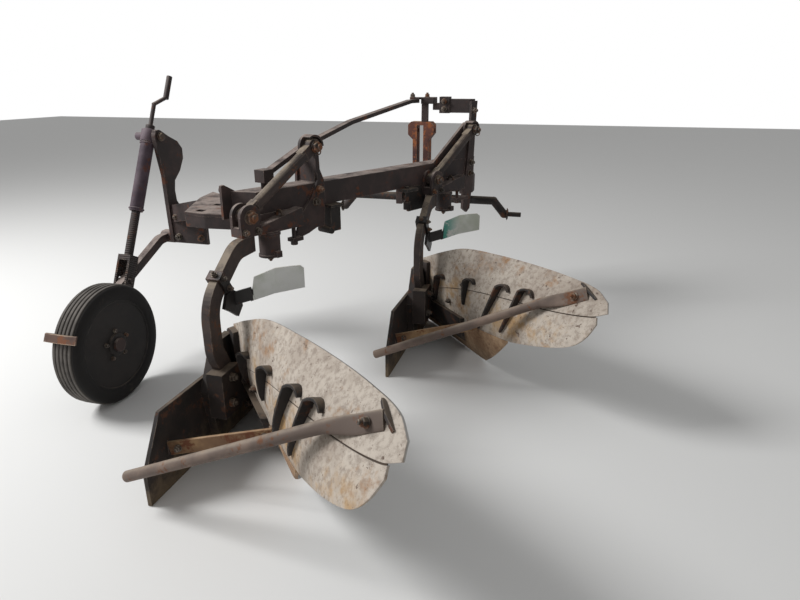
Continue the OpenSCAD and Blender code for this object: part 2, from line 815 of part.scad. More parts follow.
// Wheel carrier: a plate under the beam's rear end, and a bar out to the wheel's horn.
module wheel_carrier() {
  t = 10;
  flange = [[-231, 110], [-152, 98], [20, 114]];
  color([0.28, 0.20, 0.18]) {
    difference() {
      translate([0, 0, beam_under - t])
        linear_extrude(t)
          polygon([
            [-232, 104], [-330, 345], [-353, 471], [-233, 393], [60, 290], [45, 130], [21, 108], [-152.5, 92]
          ]);
      for (y = [137, 244])
        translate([-192, y, beam_under])
          cube([30, 30, 3 * t], center = true);
    }
    translate([0, 0, beam_under - 49])
      linear_extrude(44)
        polygon(bar_outline(flange, [15], t));
    beam_plate([
      [40, beam_under - 6], [41, beam_top + 20], [52, beam_top + 22], [104, beam_top - 8],
      [190, beam_top - 8], [200, beam_under - 6]
    ], -plate_out, -face_t);
    t_cyl(24, -plate_out - 12, -plate_out, 58, beam_top + 4);
    difference() {
      union() {
        bar_between([-290, 390, 606], [-640, 560, 521], 60, 70);
        translate([horn_x1, 490, 422])
          cube([158, 12, 138]);
      }
      translate([2 * horn_x1, 0, 0])
        cube([-horn_x1, body_gap, beam_top]);
    }
  }
}

// Horn: the tall plate that holds the arm's pivot and the jack's trunnion.
module wheel_horn() {
  color([0.30, 0.19, 0.17]) {
    difference() {
      union() {
        side_plate([
          [jack_top[0] - 18, jack_top[1] + 26], [jack_top[0] + 18, jack_top[1] + 20], [535, 846], [589, 822],
          [616, 791], [615, 751], [585, 705], [543, 670], [535, 631], [539, 589], [566, 550], [566, 425],
          [486, 425], [482, 537], [478, 700], [466, 760], [jack_top[0] - 26, jack_top[1] - 8]
        ], horn_x0, horn_x1);
        for (p = [jack_top, arm_pivot])
          x_cyl(52, horn_x0, horn_x1, p[0], p[1]);
      }
      x_cyl(trunnion_d + 2 * fit, horn_x0 - 5, horn_x1 + 5, jack_top[0], jack_top[1]);
    }
    x_cyl(arm_pin_d, arm_x - arm_t / 2 - 10, horn_x0, arm_pivot[0], arm_pivot[1]);
    x_cyl(44, arm_x - arm_t / 2 - 12, arm_x - arm_t / 2 - 4, arm_pivot[0], arm_pivot[1]);
  }
}

// Arm: trails from the horn to the hub, with the jack's pin and the stub axle.
module wheel_arm() {
  color([0.27, 0.19, 0.17])
    difference() {
      union() {
        translate([arm_x, 0, 0])
          bent_bar([arm_pivot, arm_knee, hub], [60], arm_w, arm_t);
        x_cyl(54, arm_x - arm_t / 2, horn_x0 - 1, arm_pivot[0], arm_pivot[1]);
        x_cyl(60, arm_x - arm_t / 2, arm_in, hub[0], hub[1]);
        x_cyl(axle_d, arm_x, wheel_x + 46, hub[0], hub[1]);
        x_cyl(46, arm_x, wheel_x - 44 - seat, hub[0], hub[1]);
        x_cyl(46, wheel_x + 40 + seat, wheel_x + 50, hub[0], hub[1]);
        x_cyl(eye_pin_d, arm_x - fork_gap - 14, arm_x + fork_gap + 14, jack_eye[0], jack_eye[1]);
      }
      x_cyl(arm_pin_d + 2 * fit, arm_x - 40, arm_x + 40, arm_pivot[0], arm_pivot[1]);
    }
}

// Scraper behind the tyre, held from the arm.
module wheel_scraper() {
  gap = 10;
  blade_y = wheel_y - wheel_r + 11 - gap;
  blade_z = wheel_r + 86;
  color([0.25, 0.18, 0.16]) {
    side_plate([
      [wheel_y - 30, wheel_r - 16], [wheel_y - 22, wheel_r + 24], [blade_y, blade_z + 26],
      [blade_y - 6, blade_z + 26], [blade_y - 6, blade_z], [blade_y + 20, blade_z]
    ], arm_in, arm_in + 8);
    translate([arm_in, blade_y - 6, blade_z])
      cube([wheel_x + tyre_w / 2 + 20 - arm_in, 6, 26]);
    translate([arm_in, blade_y - 6, blade_z + 20])
      cube([wheel_x + tyre_w / 2 + 20 - arm_in, 12, 6]);
  }
}

// Wheel: rim, shallow dished disc and hub on the stub axle.
module depth_wheel() {
  rim = wheel_r - 56;
  color([0.16, 0.15, 0.14])
    translate([wheel_x, wheel_y, wheel_r])
      rotate([0, 90, 0])
        difference() {
          union() {
            rotate_extrude($fn = 96)
              polygon([
                [rim - 6, -38], [rim, -38], [rim, 38], [rim - 6, 38],
                [60, 32], [30, 32], [30, 25], [62, 25], [rim - 6, 30]
              ]);
            translate([0, 0, -44])
              cylinder(d = 78, h = 84);
          }
          translate([0, 0, -80])
            cylinder(d = axle_d + 2 * fit, h = 200);
        }
}

// Tyre: a broad band with rounded shoulders.
module depth_wheel_tyre() {
  w = tyre_w / 2;
  color([0.10, 0.10, 0.10])
    translate([wheel_x, wheel_y, wheel_r])
      rotate([0, 90, 0])
        rotate_extrude($fn = 96)
          polygon([
            [wheel_r - 56, -40], [wheel_r - 30, -w], [wheel_r - 12, -w + 3], [wheel_r, -w + 16],
            [wheel_r, w - 16], [wheel_r - 12, w - 3], [wheel_r - 30, w], [wheel_r - 56, 40]
          ]);
}

// Places its children in the jack's frame: origin at the trunnion, -Z towards the rod's eye.
module at_jack() {
  translate([arm_x, jack_top[0], jack_top[1]])
    rotate([-jack_lean, 0, 0])
      children();
}

// Jack tube with its collar and trunnion.
module jack_tube() {
  color([0.36, 0.24, 0.25])
    at_jack() {
      difference() {
        union() {
          translate([0, 0, -jack_tube_len])
            cylinder(d = jack_d, h = jack_tube_len + 26);
          translate([0, 0, -24])
            cylinder(d = jack_d + 8, h = 46);
          x_cyl(30, -jack_d - 2, jack_d / 2, 0, 0);
        }
        translate([0, 0, -jack_tube_len - 1])
          cylinder(d = jack_rod_d + 2 * fit, h = 60);
        translate([0, 0, 50 - jack_tube_len])
          cylinder(d = jack_rod_d + 6, h = jack_tube_len - 90);
      }
      x_cyl(trunnion_d, jack_d / 2 - 2, horn_x1 - arm_x + 6, 0, 0);
    }
}

// Jack crank on top of the tube.
module jack_crank() {
  color([0.30, 0.22, 0.20])
    at_jack() {
      translate([0, 0, 26])
        cylinder(d = 34, h = 18);
      rod_between([0, 0, 40], [0, 0, 136], 16);
      rod_between([0, -4, 129], [0, 66, 193], 15);
      rod_between([0, 62, 184], [0, 62, 278], 22);
    }
}

// Jack rod with the fork that holds the arm's pin.
module jack_rod() {
  fork_h = 96;
  half_w = 24;
  color([0.32, 0.22, 0.22])
    at_jack()
      difference() {
        union() {
          translate([0, 0, fork_h - jack_len - 6])
            cylinder(d = jack_rod_d, h = jack_len - fork_h - 150);
          for (side = [-1, 1])
            translate([side * (fork_gap + 4) - 4, -half_w, -jack_len - half_w])
              cube([8, 2 * half_w, fork_h + half_w]);
          translate([-fork_gap - 8, -half_w, fork_h - jack_len - 20])
            cube([2 * fork_gap + 16, 2 * half_w, 20]);
        }
        x_cyl(eye_pin_d + 2 * eye_play, -fork_gap - 20, fork_gap + 20, 0, -jack_len);
      }
}

main_beam();
beam_brackets();
rear_tower();
front_tower();
headstock_crossmember();
headstock_mast();
headstock_top_bar();
cross_shaft();
backstay();
for (which = BODIES) {
  carrier(which);
  strut(which);
  leg(which);
  frog(which);
  landside(which);
  share(which);
  moldboard_upper(which);
  moldboard_lower(which);
  board_brackets(which);
  tube_stay(which);
  flat_stay(which);
  trashboard(which);
}
wheel_carrier();
wheel_horn();
wheel_arm();
wheel_scraper();
depth_wheel();
depth_wheel_tyre();
jack_tube();
jack_crank();
jack_rod();
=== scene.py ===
import math

import bmesh
import bpy
from mathutils import Matrix, Vector


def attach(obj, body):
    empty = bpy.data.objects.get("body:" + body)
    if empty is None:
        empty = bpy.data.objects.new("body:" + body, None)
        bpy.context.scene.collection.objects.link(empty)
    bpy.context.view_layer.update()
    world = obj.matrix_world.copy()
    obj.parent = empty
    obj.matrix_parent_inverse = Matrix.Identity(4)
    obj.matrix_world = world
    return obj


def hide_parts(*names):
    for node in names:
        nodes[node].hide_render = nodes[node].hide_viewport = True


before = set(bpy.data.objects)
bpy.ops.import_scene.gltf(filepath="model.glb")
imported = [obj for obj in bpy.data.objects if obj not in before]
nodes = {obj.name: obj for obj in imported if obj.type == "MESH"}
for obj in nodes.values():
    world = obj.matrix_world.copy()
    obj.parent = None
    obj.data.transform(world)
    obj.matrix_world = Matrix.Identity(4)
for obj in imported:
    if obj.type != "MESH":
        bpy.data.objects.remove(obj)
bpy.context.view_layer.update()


# Camera: a hand-held wide view from behind and right of the plough, a little above the beam,
# turned to the left of the direction of travel and looking down on the boards' backs.
VIEW_LEFT = math.radians(15.5)
VIEW_DOWN = math.radians(20.0)
camera_data = bpy.data.cameras.new("photo_camera")
camera_data.lens = 27.0
camera_data.sensor_width = 36.0
camera = bpy.data.objects.new("photo_camera", camera_data)
camera.location = (0.981, -1.600, 1.050)
camera.rotation_euler = (math.pi / 2 - VIEW_DOWN, 0.0, VIEW_LEFT)
bpy.context.scene.collection.objects.link(camera)
bpy.context.scene.camera = camera


# Floor and light: a plain pale ground that takes the shadows, a soft white studio sky,
# and one broad key from high on the left, the side from which the boards' backs are lit.
FLOOR_SIZE, FLOOR_Z = 30.0, -0.001
KEY_AT, KEY_AIM = Vector((-3.2, -0.9, 3.4)), Vector((0.2, 0.5, 0.4))
KEY_SIZE, KEY_POWER, SKY_LIGHT = 1.6, 215.0, 0.42
WHITE = (1.0, 1.0, 1.0, 1.0)


def new_material(name):
    """A new material, its node tree and the shader that carries the finish."""
    material = bpy.data.materials.new(name)
    material.use_nodes = True
    return material, material.node_tree, material.node_tree.nodes["Principled BSDF"]


bpy.ops.mesh.primitive_plane_add(size=FLOOR_SIZE, location=(0.0, 0.0, FLOOR_Z))
floor = bpy.context.object
floor.name = "floor"
floor_paint, _, floor_surface = new_material("floor_paint")
floor_surface.inputs["Base Color"].default_value = (0.72, 0.72, 0.71, 1.0)
floor_surface.inputs["Roughness"].default_value = 0.9
floor.data.materials.append(floor_paint)

key_data = bpy.data.lights.new("key", "AREA")
key_data.shape = "RECTANGLE"
key_data.size = KEY_SIZE
key_data.size_y = KEY_SIZE
key_data.energy = KEY_POWER
key = bpy.data.objects.new("key", key_data)
key.location = KEY_AT
key.rotation_euler = (KEY_AIM - KEY_AT).to_track_quat("-Z", "Y").to_euler()
bpy.context.scene.collection.objects.link(key)

world = bpy.data.worlds.new("studio")
world.use_nodes = True
sky = world.node_tree.nodes["Background"]
sky.inputs["Color"].default_value = WHITE
sky.inputs["Strength"].default_value = SKY_LIGHT
backdrop = world.node_tree.nodes.new("ShaderNodeBackground")
backdrop.inputs["Color"].default_value = WHITE
seen = world.node_tree.nodes.new("ShaderNodeLightPath")
choice = world.node_tree.nodes.new("ShaderNodeMixShader")
world.node_tree.links.new(seen.outputs["Is Camera Ray"], choice.inputs[0])
world.node_tree.links.new(sky.outputs[0], choice.inputs[1])
world.node_tree.links.new(backdrop.outputs[0], choice.inputs[2])
world.node_tree.links.new(choice.outputs[0], world.node_tree.nodes["World Output"].inputs["Surface"])
bpy.context.scene.world = world
bpy.context.scene.view_settings.view_transform = "Standard"


# Frame steel: hot-rolled hollow section and plate, once painted dark red-brown, now chalky,
# with rust through the paint, bare edges, and pale dust on whatever looks up, which is also painted
# sunlight on the tops.
def colour(red, green, blue):
    """A colour as it is seen, 0 to 255 a channel, in the linear values that a shader takes."""
    return tuple(((c / 255 + 0.055) / 1.055) ** 2.4 for c in (red, green, blue)) + (1.0,)


def shader(tree, kind, inputs=None, **settings):
    """Adds one shader node, sets its settings, and sets or links its inputs by name or number."""
    node = tree.nodes.new(kind)
    for name, value in settings.items():
        setattr(node, name, value)
    for name, value in (inputs or {}).items():
        if isinstance(value, bpy.types.NodeSocket):
            tree.links.new(value, node.inputs[name])
        else:
            node.inputs[name].default_value = value
    return node


def reckon(tree, operation, *values):
    """One step of arithmetic on numbers and masks."""
    return shader(tree, "ShaderNodeMath", dict(enumerate(values)), operation=operation).outputs[0]


def product(tree, first, second):
    """The product of two masks."""
    return reckon(tree, "MULTIPLY", first, second)


def blend_colour(tree, mask, low, high):
    """Mixes two colours, each a value or a socket, by a mask."""
    return shader(tree, "ShaderNodeMix", {0: mask, 6: low, 7: high}, data_type="RGBA").outputs[2]


def ramp(tree, value, start, end):
    """A smooth mask that is 0 at start and 1 at end."""
    node = shader(tree, "ShaderNodeMapRange", {"Value": value, "From Min": start, "From Max": end},
                  interpolation_type="SMOOTHSTEP")
    return node.outputs["Result"]


def where(tree):
    """The place of a point of the surface, in metres."""
    return shader(tree, "ShaderNodeTexCoord").outputs["Object"]


def facing(tree):
    """The way that the surface faces, before any bump."""
    return shader(tree, "ShaderNodeNewGeometry").outputs["Normal"]


def noise(tree, scale, detail, roughness=0.5, seed=None):
    """A cloudy mask; materials with another seed get another part of the pattern."""
    inputs = {"Vector": where(tree), "Scale": scale, "Detail": detail, "Roughness": roughness}
    if seed is None:
        return shader(tree, "ShaderNodeTexNoise", inputs).outputs["Fac"]
    inputs["W"] = seed
    return shader(tree, "ShaderNodeTexNoise", inputs, noise_dimensions="4D").outputs["Fac"]


def effect(name, inputs, output, kind="NodeSocketFloat"):
    """Starts a shader node group with named number inputs and one output."""
    tree = bpy.data.node_groups.new(name, "ShaderNodeTree")
    for socket, value in inputs.items():
        given = tree.interface.new_socket(socket, in_out="INPUT", socket_type="NodeSocketFloat")
        given.default_value = value
    tree.interface.new_socket(output, in_out="OUTPUT", socket_type=kind)
    return tree, tree.nodes.new("NodeGroupInput").outputs, tree.nodes.new("NodeGroupOutput").inputs


def patches_effect():
    """Ragged patches: a coarse noise broken up by a fine one, cut at a threshold."""
    tree, given, result = effect(
        "patches", {"Scale": 8.0, "Cut": 0.55, "Edge": 0.06, "Seed": 0.0}, "Mask")
    finer, broken = 6.5, 0.30
    coarse = noise(tree, given["Scale"], 8.0, 0.62, given["Seed"])
    fine = noise(tree, product(tree, given["Scale"], finer), 4.0, seed=given["Seed"])
    level = reckon(tree, "SUBTRACT", reckon(tree, "MULTIPLY_ADD", fine, broken, coarse), broken / 2)
    end = reckon(tree, "ADD", given["Cut"], given["Edge"])
    tree.links.new(ramp(tree, level, given["Cut"], end), result["Mask"])
    return tree


def bare_edges_effect():
    """Rubbed edges: where the rounded normal leaves the true one, broken up by noise."""
    tree, given, result = effect("bare_edges", {"Width": 0.004}, "Mask")
    rounded = shader(tree, "ShaderNodeBevel", {"Radius": given["Width"]}, samples=4).outputs[0]
    match = shader(tree, "ShaderNodeVectorMath", {0: rounded, 1: facing(tree)}, operation="DOT_PRODUCT")
    edge = ramp(tree, match.outputs["Value"], 0.995, 0.90)
    tree.links.new(product(tree, edge, ramp(tree, noise(tree, 38.0, 5.0), 0.40, 0.62)), result["Mask"])
    return tree


def dust_and_sunlit_tops_effect():
    """Dust and dry soil that settle on faces looking up, thicker in some places; this lighter colour on
    upward faces is also painted sunlight on the tops.
    """
    tree, given, result = effect("dust_and_sunlit_tops", {"Amount": 1.0, "Scale": 14.0}, "Mask")
    up = shader(tree, "ShaderNodeSeparateXYZ", {0: facing(tree)}).outputs["Z"]
    thick = noise(tree, given["Scale"], 9.0, 0.7)
    cover = product(tree, ramp(tree, up, 0.45, 0.92), ramp(tree, thick, 0.30, 0.60))
    tree.links.new(product(tree, cover, given["Amount"]), result["Mask"])
    return tree


def low_soil_effect():
    """Soil that sticks near the ground and thins out upward."""
    tree, given, result = effect("low_soil", {"Height": 0.2, "Amount": 0.8}, "Mask")
    height = shader(tree, "ShaderNodeSeparateXYZ", {0: where(tree)}).outputs["Z"]
    level = reckon(tree, "DIVIDE", height, given["Height"])
    ragged = reckon(tree, "MULTIPLY_ADD", noise(tree, 26.0, 8.0, 0.7), 1.6, level)
    tree.links.new(product(tree, ramp(tree, ragged, 1.45, 0.75), given["Amount"]), result["Mask"])
    return tree


def pitted_effect():
    """A rolled and rust-pitted skin as a bumped normal."""
    tree, given, result = effect(
        "pitted", {"Scale": 120.0, "Depth": 0.0006}, "Normal", "NodeSocketVector")
    grain = noise(tree, given["Scale"], 6.0, 0.65)
    height = reckon(tree, "MULTIPLY_ADD", noise(tree, 11.0, 3.0), 1.6, grain)
    bump = shader(tree, "ShaderNodeBump", {"Height": height, "Distance": given["Depth"], "Strength": 1.0})
    tree.links.new(bump.outputs["Normal"], result["Normal"])
    return tree


patches = patches_effect()
bare_edges = bare_edges_effect()
dust_and_sunlit_tops = dust_and_sunlit_tops_effect()
low_soil = low_soil_effect()
pitted = pitted_effect()


def use(tree, group, **values):
    """Puts an effect into a material and returns its output."""
    node = shader(tree, "ShaderNodeGroup", node_tree=group)
    for name, value in values.items():
        node.inputs[name.capitalize()].default_value = value
    return node.outputs[0]


def weathered(name, paint, faded, rust, bare, dust_and_sunlight, rust_cut=0.56, dust_and_sunlight_amount=0.8, soil=0.0,
              metal=0.0, bare_metal=0.0, roughness=0.72, depth=0.0006, seed=0.0):
    """Old painted or bare steel: two tones, rust patches, rubbed edges, dust and painted sunlight on
    faces looking up, and soil below.
    """
    dry_soil = colour(112, 96, 74)
    material, tree, surface = new_material(name)
    chalky = use(tree, patches, scale=4.0, cut=0.42, edge=0.22, seed=seed)
    shade = blend_colour(tree, chalky, paint, faded)
    rusted = use(tree, patches, scale=16.0, cut=rust_cut, edge=0.10, seed=seed + 3.0)
    shade = blend_colour(tree, rusted, shade, rust)
    rubbed = use(tree, bare_edges, width=0.004)
    shade = blend_colour(tree, rubbed, shade, bare)
    # Faces looking up take the dust colour: real dust, and also painted sunlight on the tops.
    shade = blend_colour(tree, use(tree, dust_and_sunlit_tops, amount=dust_and_sunlight_amount, scale=14.0), shade, dust_and_sunlight)
    if soil:
        shade = blend_colour(tree, use(tree, low_soil, height=soil, amount=0.8), shade, dry_soil)
    tree.links.new(shade, surface.inputs["Base Color"])
    tree.links.new(use(tree, pitted, scale=120.0, depth=depth), surface.inputs["Normal"])
    coarse = shader(tree, "ShaderNodeMapRange", {"Value": rusted, "To Min": roughness, "To Max": 0.92})
    smooth = reckon(tree, "MULTIPLY_ADD", rubbed, -0.25, coarse.outputs["Result"])
    tree.links.new(smooth, surface.inputs["Roughness"])
    if bare_metal:
        shine = shader(tree, "ShaderNodeMapRange", {
            "Value": rubbed, "To Min": metal, "To Max": bare_metal,
        })
        tree.links.new(shine.outputs["Result"], surface.inputs["Metallic"])
    else:
        surface.inputs["Metallic"].default_value = metal
    return material


frame_steel = weathered(
    "frame_steel", paint=colour(42, 33, 32), faded=colour(64, 48, 45), rust=colour(92, 54, 36),
    bare=colour(116, 100, 92), dust_and_sunlight=colour(150, 136, 128), bare_metal=0.4)


def soften(piece, width, segments=2, angle=30):
    """Rounds a piece's edges, where its faces turn by more than the angle in degrees."""
    edge = piece.modifiers.new("broken_edge", "BEVEL")
    edge.width = width
    edge.segments = segments
    edge.limit_method = "ANGLE"
    edge.angle_limit = math.radians(angle)
    return edge


def dress(material, *names):
    """Gives CAD nodes their material and softens the edges that a saw and a torch leave."""
    for name in names:
        node = nodes[name]
        for place in node.material_slots:
            place.material = material
        weld = node.modifiers.new("joined_skin", "WELD")
        weld.merge_threshold = 0.00002
        soften(node, 0.0014, angle=38).harden_normals = True


def both(part):
    """The names of a part's rear and front node."""
    return "rear_" + part, "front_" + part


dress(frame_steel, "main_beam", "rear_tower", "front_tower", "headstock_crossmember",
      "headstock_top_bar", "backstay", "wheel_carrier", "wheel_horn", "wheel_arm", "jack_crank",
      *both("carrier"))


# Dark steel: the beam's brackets, the cross shaft, frogs and landsides. Cut plate and bar,
# oil-dark and rust-brown, with soil pressed on below and little paint left.
dark_steel = weathered(
    "dark_steel", paint=colour(30, 26, 25), faded=colour(48, 38, 34), rust=colour(84, 54, 38),
    bare=colour(120, 108, 98), dust_and_sunlight=colour(118, 104, 88), dust_and_sunlight_amount=0.6, soil=0.16, bare_metal=0.5)
dress(dark_steel, "beam_brackets", "cross_shaft", *both("frog"), *both("landside"))


# Worn steel: struts and curved legs, dark with old paint and oil, rubbed to brown and to bare
# metal on the edges, with rust patches.
worn_steel = weathered(
    "worn_steel", paint=colour(46, 38, 36), faded=colour(68, 55, 50), rust=colour(96, 62, 42),
    bare=colour(140, 124, 108), dust_and_sunlight=colour(150, 136, 118), soil=0.12, bare_metal=0.5, seed=1.0)
dress(worn_steel, *both("strut"), *both("leg"))


# Mast: the upright plates that take the tractor's top link, welded to the cross member; the
# same steel with its paint burnt off; the orange-brown on its faces looking up is dust and painted
# sunlight.
mast_rust = weathered(
    "mast_rust", paint=colour(66, 36, 33), faded=colour(104, 60, 44), rust=colour(146, 86, 50),
    bare=colour(150, 118, 92), dust_and_sunlight=colour(164, 128, 96), rust_cut=0.50, seed=2.0)
dress(mast_rust, "headstock_mast")


# Welds: fillets laid by hand along the joints of plate, beam and headstock; rippled beads
# made as overlapping flattened drops. The beam runs along the diagonal from body to body.
STEP_RIGHT, STEP_AHEAD = 0.390, 0.870
BEAM_X, BEAM_YAW = -0.035, math.atan2(STEP_RIGHT, STEP_AHEAD)
FACE, UNDER, TOP = 0.040, 0.645, 0.725
REAR_S, FRONT_S = 0.330, 1.2834
PLATE = 0.011
CROSS_BACK, CROSS_FRONT, CROSS_FOOT, CROSS_TOP = 1.215, 1.275, 0.560, 0.640
RIPPLE_STEP, RIPPLE_SWELL, DROP = 0.42, 0.16, Matrix.Diagonal((0.75, 1.0, 0.9, 1.0))


def on_beam(s, t, z):
    """The point s along the beam, t to its right and at height z."""
    return Vector((BEAM_X + t * math.cos(BEAM_YAW) + s * math.sin(BEAM_YAW),
                   s * math.cos(BEAM_YAW) - t * math.sin(BEAM_YAW), z))


def finished(name, bm, material, body="plough", smooth=True):
    """Makes a mesh object from bm, gives it its material and body."""
    mesh = bpy.data.meshes.new(name)
    for face in bm.faces:
        face.smooth = smooth
    bm.to_mesh(mesh)
    bm.free()
    mesh.materials.append(material)
    piece = bpy.data.objects.new(name, mesh)
    bpy.context.scene.collection.objects.link(piece)
    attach(piece, body)
    return piece


def add_bead(bm, start, end, size, wave):
    """One run of weld from start to end, each ripple a drop that overlaps the last."""
    run = end - start
    lie = run.to_track_quat("X", "Z").to_matrix().to_4x4()
    count = max(2, int(run.length / (size * RIPPLE_STEP)))
    for k in range(count + 1):
        swell = size * (1.0 + RIPPLE_SWELL * math.sin(k * 2.3 + wave))
        bmesh.ops.create_uvsphere(
            bm, u_segments=8, v_segments=5, radius=swell * 0.6,
            matrix=Matrix.Translation(start + run * k / count) @ lie @ DROP)


def welds(name, runs, size):
    """All the weld runs of one group as one piece."""
    bm = bmesh.new()
    for number, (start, end) in enumerate(runs):
        add_bead(bm, Vector(start), Vector(end), size, number * 0.9)
    return finished(name, bm, frame_steel)


welds("tower_welds", [
    (on_beam(REAR_S - 0.004, FACE, UNDER + 0.028), on_beam(REAR_S + 0.030, FACE, TOP)),
    (on_beam(REAR_S + 0.066, FACE, UNDER + 0.016), on_beam(REAR_S + 0.064, FACE, TOP)),
    (on_beam(REAR_S - 0.018, -FACE, UNDER + 0.002), on_beam(REAR_S + 0.020, -FACE, TOP)),
    (on_beam(REAR_S + 0.029, -FACE, TOP), on_beam(REAR_S + 0.029, FACE, TOP)),
    (on_beam(REAR_S + 0.041, -FACE, TOP), on_beam(REAR_S + 0.041, FACE, TOP)),
    (on_beam(FRONT_S - 0.016, FACE, UNDER + 0.002), on_beam(FRONT_S - 0.003, FACE, TOP - 0.004)),
    (on_beam(FRONT_S + 0.044, FACE, UNDER + 0.004), on_beam(FRONT_S + 0.047, FACE, TOP - 0.014)),
    (on_beam(FRONT_S - 0.248, FACE - PLATE, TOP), on_beam(FRONT_S + 0.020, FACE - PLATE, TOP)),
    (on_beam(FRONT_S - 0.248, FACE - PLATE, TOP), on_beam(FRONT_S - 0.250, FACE, TOP)),
], 0.0055)

welds("headstock_welds", [
    ((0.466, CROSS_BACK, TOP), (0.553, CROSS_BACK, TOP)),
    ((0.466, CROSS_BACK, UNDER), (0.466, CROSS_BACK, TOP)),
    ((0.262, CROSS_BACK, CROSS_TOP), (0.282, CROSS_BACK, CROSS_TOP)),
    ((0.312, CROSS_BACK, CROSS_TOP), (0.339, CROSS_BACK, CROSS_TOP)),
    ((0.262, CROSS_BACK, CROSS_TOP), (0.262, CROSS_FRONT - 0.006, CROSS_TOP)),
    ((0.339, CROSS_BACK, CROSS_TOP), (0.339, CROSS_FRONT - 0.006, CROSS_TOP)),
    ((0.180, CROSS_BACK, CROSS_FOOT), (0.210, CROSS_BACK, CROSS_FOOT)),
    ((0.500, CROSS_BACK, CROSS_FOOT), (0.530, CROSS_BACK, CROSS_FOOT)),
], 0.006)


# Bolts: hexagon heads and nuts on washers, some with the thread's end showing, black from
# heat treatment and rust-brown at the corners. They hold brackets, frogs and boards.
bolt_steel = weathered(
    "bolt_steel", paint=colour(44, 38, 34), faded=colour(72, 58, 48), rust=colour(112, 70, 44),
    bare=colour(150, 140, 128), dust_and_sunlight=colour(140, 122, 100), dust_and_sunlight_amount=0.5, rust_cut=0.50,
    roughness=0.6, bare_metal=0.7, depth=0.0003, seed=4.0)
WASHER = 0.0022


def add_bolt(bm, place, axis, across, height, turn, stud=0.0):
    """A washer, a hexagon with a turned top, and the thread's end, standing on place."""
    axis = Vector(axis).normalized()
    stand = Matrix.Translation(Vector(place)) @ axis.to_track_quat("Z", "Y").to_matrix().to_4x4()
    stand = stand @ Matrix.Rotation(turn, 4, "Z")
    corner = across / math.sqrt(3)
    layers = [
        (24, across * 0.66, across * 0.66, 0.0, WASHER),
        (6, corner, corner, WASHER, height * 0.86),
        (6, corner, corner * 0.90, WASHER + height * 0.86, height * 0.14),
    ]
    if stud:
        layers.append((16, across * 0.30, across * 0.30, WASHER + height, stud))
        layers.append((16, across * 0.30, across * 0.24, WASHER + height + stud, 0.0015))
    for segments, low, high, base, deep in layers:
        bmesh.ops.create_cone(
            bm, cap_ends=True, segments=segments, radius1=low, radius2=high, depth=deep,
            matrix=stand @ Matrix.Translation((0.0, 0.0, base + deep / 2)))


def bolts(name, places, body="plough", **sizes):
    """A group of like bolts as one piece; each place is (point, axis)."""
    bm = bmesh.new()
    for number, (point, axis) in enumerate(places):
        add_bolt(bm, point, axis, turn=0.37 * number, **sizes)
    piece = finished(name, bm, bolt_steel, body, smooth=False)
    soften(piece, 0.0006, segments=1)
    return piece


across_beam = on_beam(0, 1, 0) - on_beam(0, 0, 0)
along_beam = on_beam(1, 0, 0) - on_beam(0, 0, 0)
RIGHT, LEFT, BACK = Vector((1, 0, 0)), Vector((-1, 0, 0)), Vector((0, -1, 0))
DOWN, UP = Vector((0, 0, -1)), Vector((0, 0, 1))
LOWER_PIN_Y, LOWER_PIN_Z = 1.245, 0.460

bolts("tower_bolts", [
    (on_beam(REAR_S + 0.020, FACE + PLATE, TOP - 0.062), across_beam),
    (on_beam(REAR_S + 0.038, FACE + PLATE, TOP - 0.022), across_beam),
    (on_beam(FRONT_S + 0.018, FACE + PLATE, UNDER + 0.012), across_beam),
    (on_beam(FRONT_S + 0.022, FACE + PLATE, TOP - 0.020), across_beam),
    (on_beam(FRONT_S + 0.030, FACE + PLATE, 0.930), across_beam),
], across=0.022, height=0.013, stud=0.006)

bolts("strut_pin_nuts", [
    (on_beam(s, 0.0863, 0.850), across_beam) for s in (REAR_S, FRONT_S)
], across=0.030, height=0.012, stud=0.008)

bolts("headstock_bolts", [
    ((0.482, CROSS_BACK, 0.618), BACK), ((0.482, CROSS_BACK, 0.580), BACK),
    ((0.536, CROSS_BACK, 0.618), BACK), ((0.536, CROSS_BACK, 0.580), BACK),
    ((0.419, 1.163, 0.935), BACK), ((0.419, 1.163, 0.968), BACK),
    ((0.332, 1.205, 0.984), UP), ((0.275, 1.160, 0.984), UP),
], across=0.019, height=0.011, stud=0.005)

bolts("lower_pin_collars", [
    ((0.7165, LOWER_PIN_Y, LOWER_PIN_Z), RIGHT), ((-0.1065, LOWER_PIN_Y, LOWER_PIN_Z), LEFT),
], across=0.043, height=0.004)


# Carriers: each fork is welded to its channel and bolted through, its big nut on the right.
# The strut's pin keeps its lynch-pin ring, and a small forged shackle hangs below the beam.
BODY_SHIFTS = (("rear", Vector((0, 0, 0))), ("front", Vector((STEP_RIGHT, STEP_AHEAD, 0))))
FORK_IN, FORK_SIDE, FORK_OUT = 0.051, 0.0816, 0.0926
FORK_REAR, FORK_FRONT, FORK_SEAM = 0.007, 0.080, 0.634
RING_STEPS, WIRE_SIDES = 40, 10


def skin(bm, loops, round_again=False):
    """Joins each loop of points to the next, and the last to the first where it goes round."""
    for one, two in zip(loops, loops[1:] + (loops[:1] if round_again else [])):
        for j in range(len(one)):
            k = (j + 1) % len(one)
            bm.faces.new((one[j], one[k], two[k], two[j]))


def ring(name, centre, axis, radius, wire, body="plough", material=bolt_steel):
    """A closed ring of round wire."""
    bm = bmesh.new()
    turn = Vector(axis).normalized().to_track_quat("Z", "Y").to_matrix().to_4x4()
    place = Matrix.Translation(Vector(centre)) @ turn
    section = [(radius + wire * math.cos(b), wire * math.sin(b))
               for b in (2 * math.pi * j / WIRE_SIDES for j in range(WIRE_SIDES))]
    loops = []
    for i in range(RING_STEPS):
        a = 2 * math.pi * i / RING_STEPS
        loops.append([bm.verts.new(place @ Vector((out * math.cos(a), out * math.sin(a), up)))
                      for out, up in section])
    skin(bm, loops, round_again=True)
    bmesh.ops.recalc_face_normals(bm, faces=bm.faces)
    return finished(name, bm, material, body)


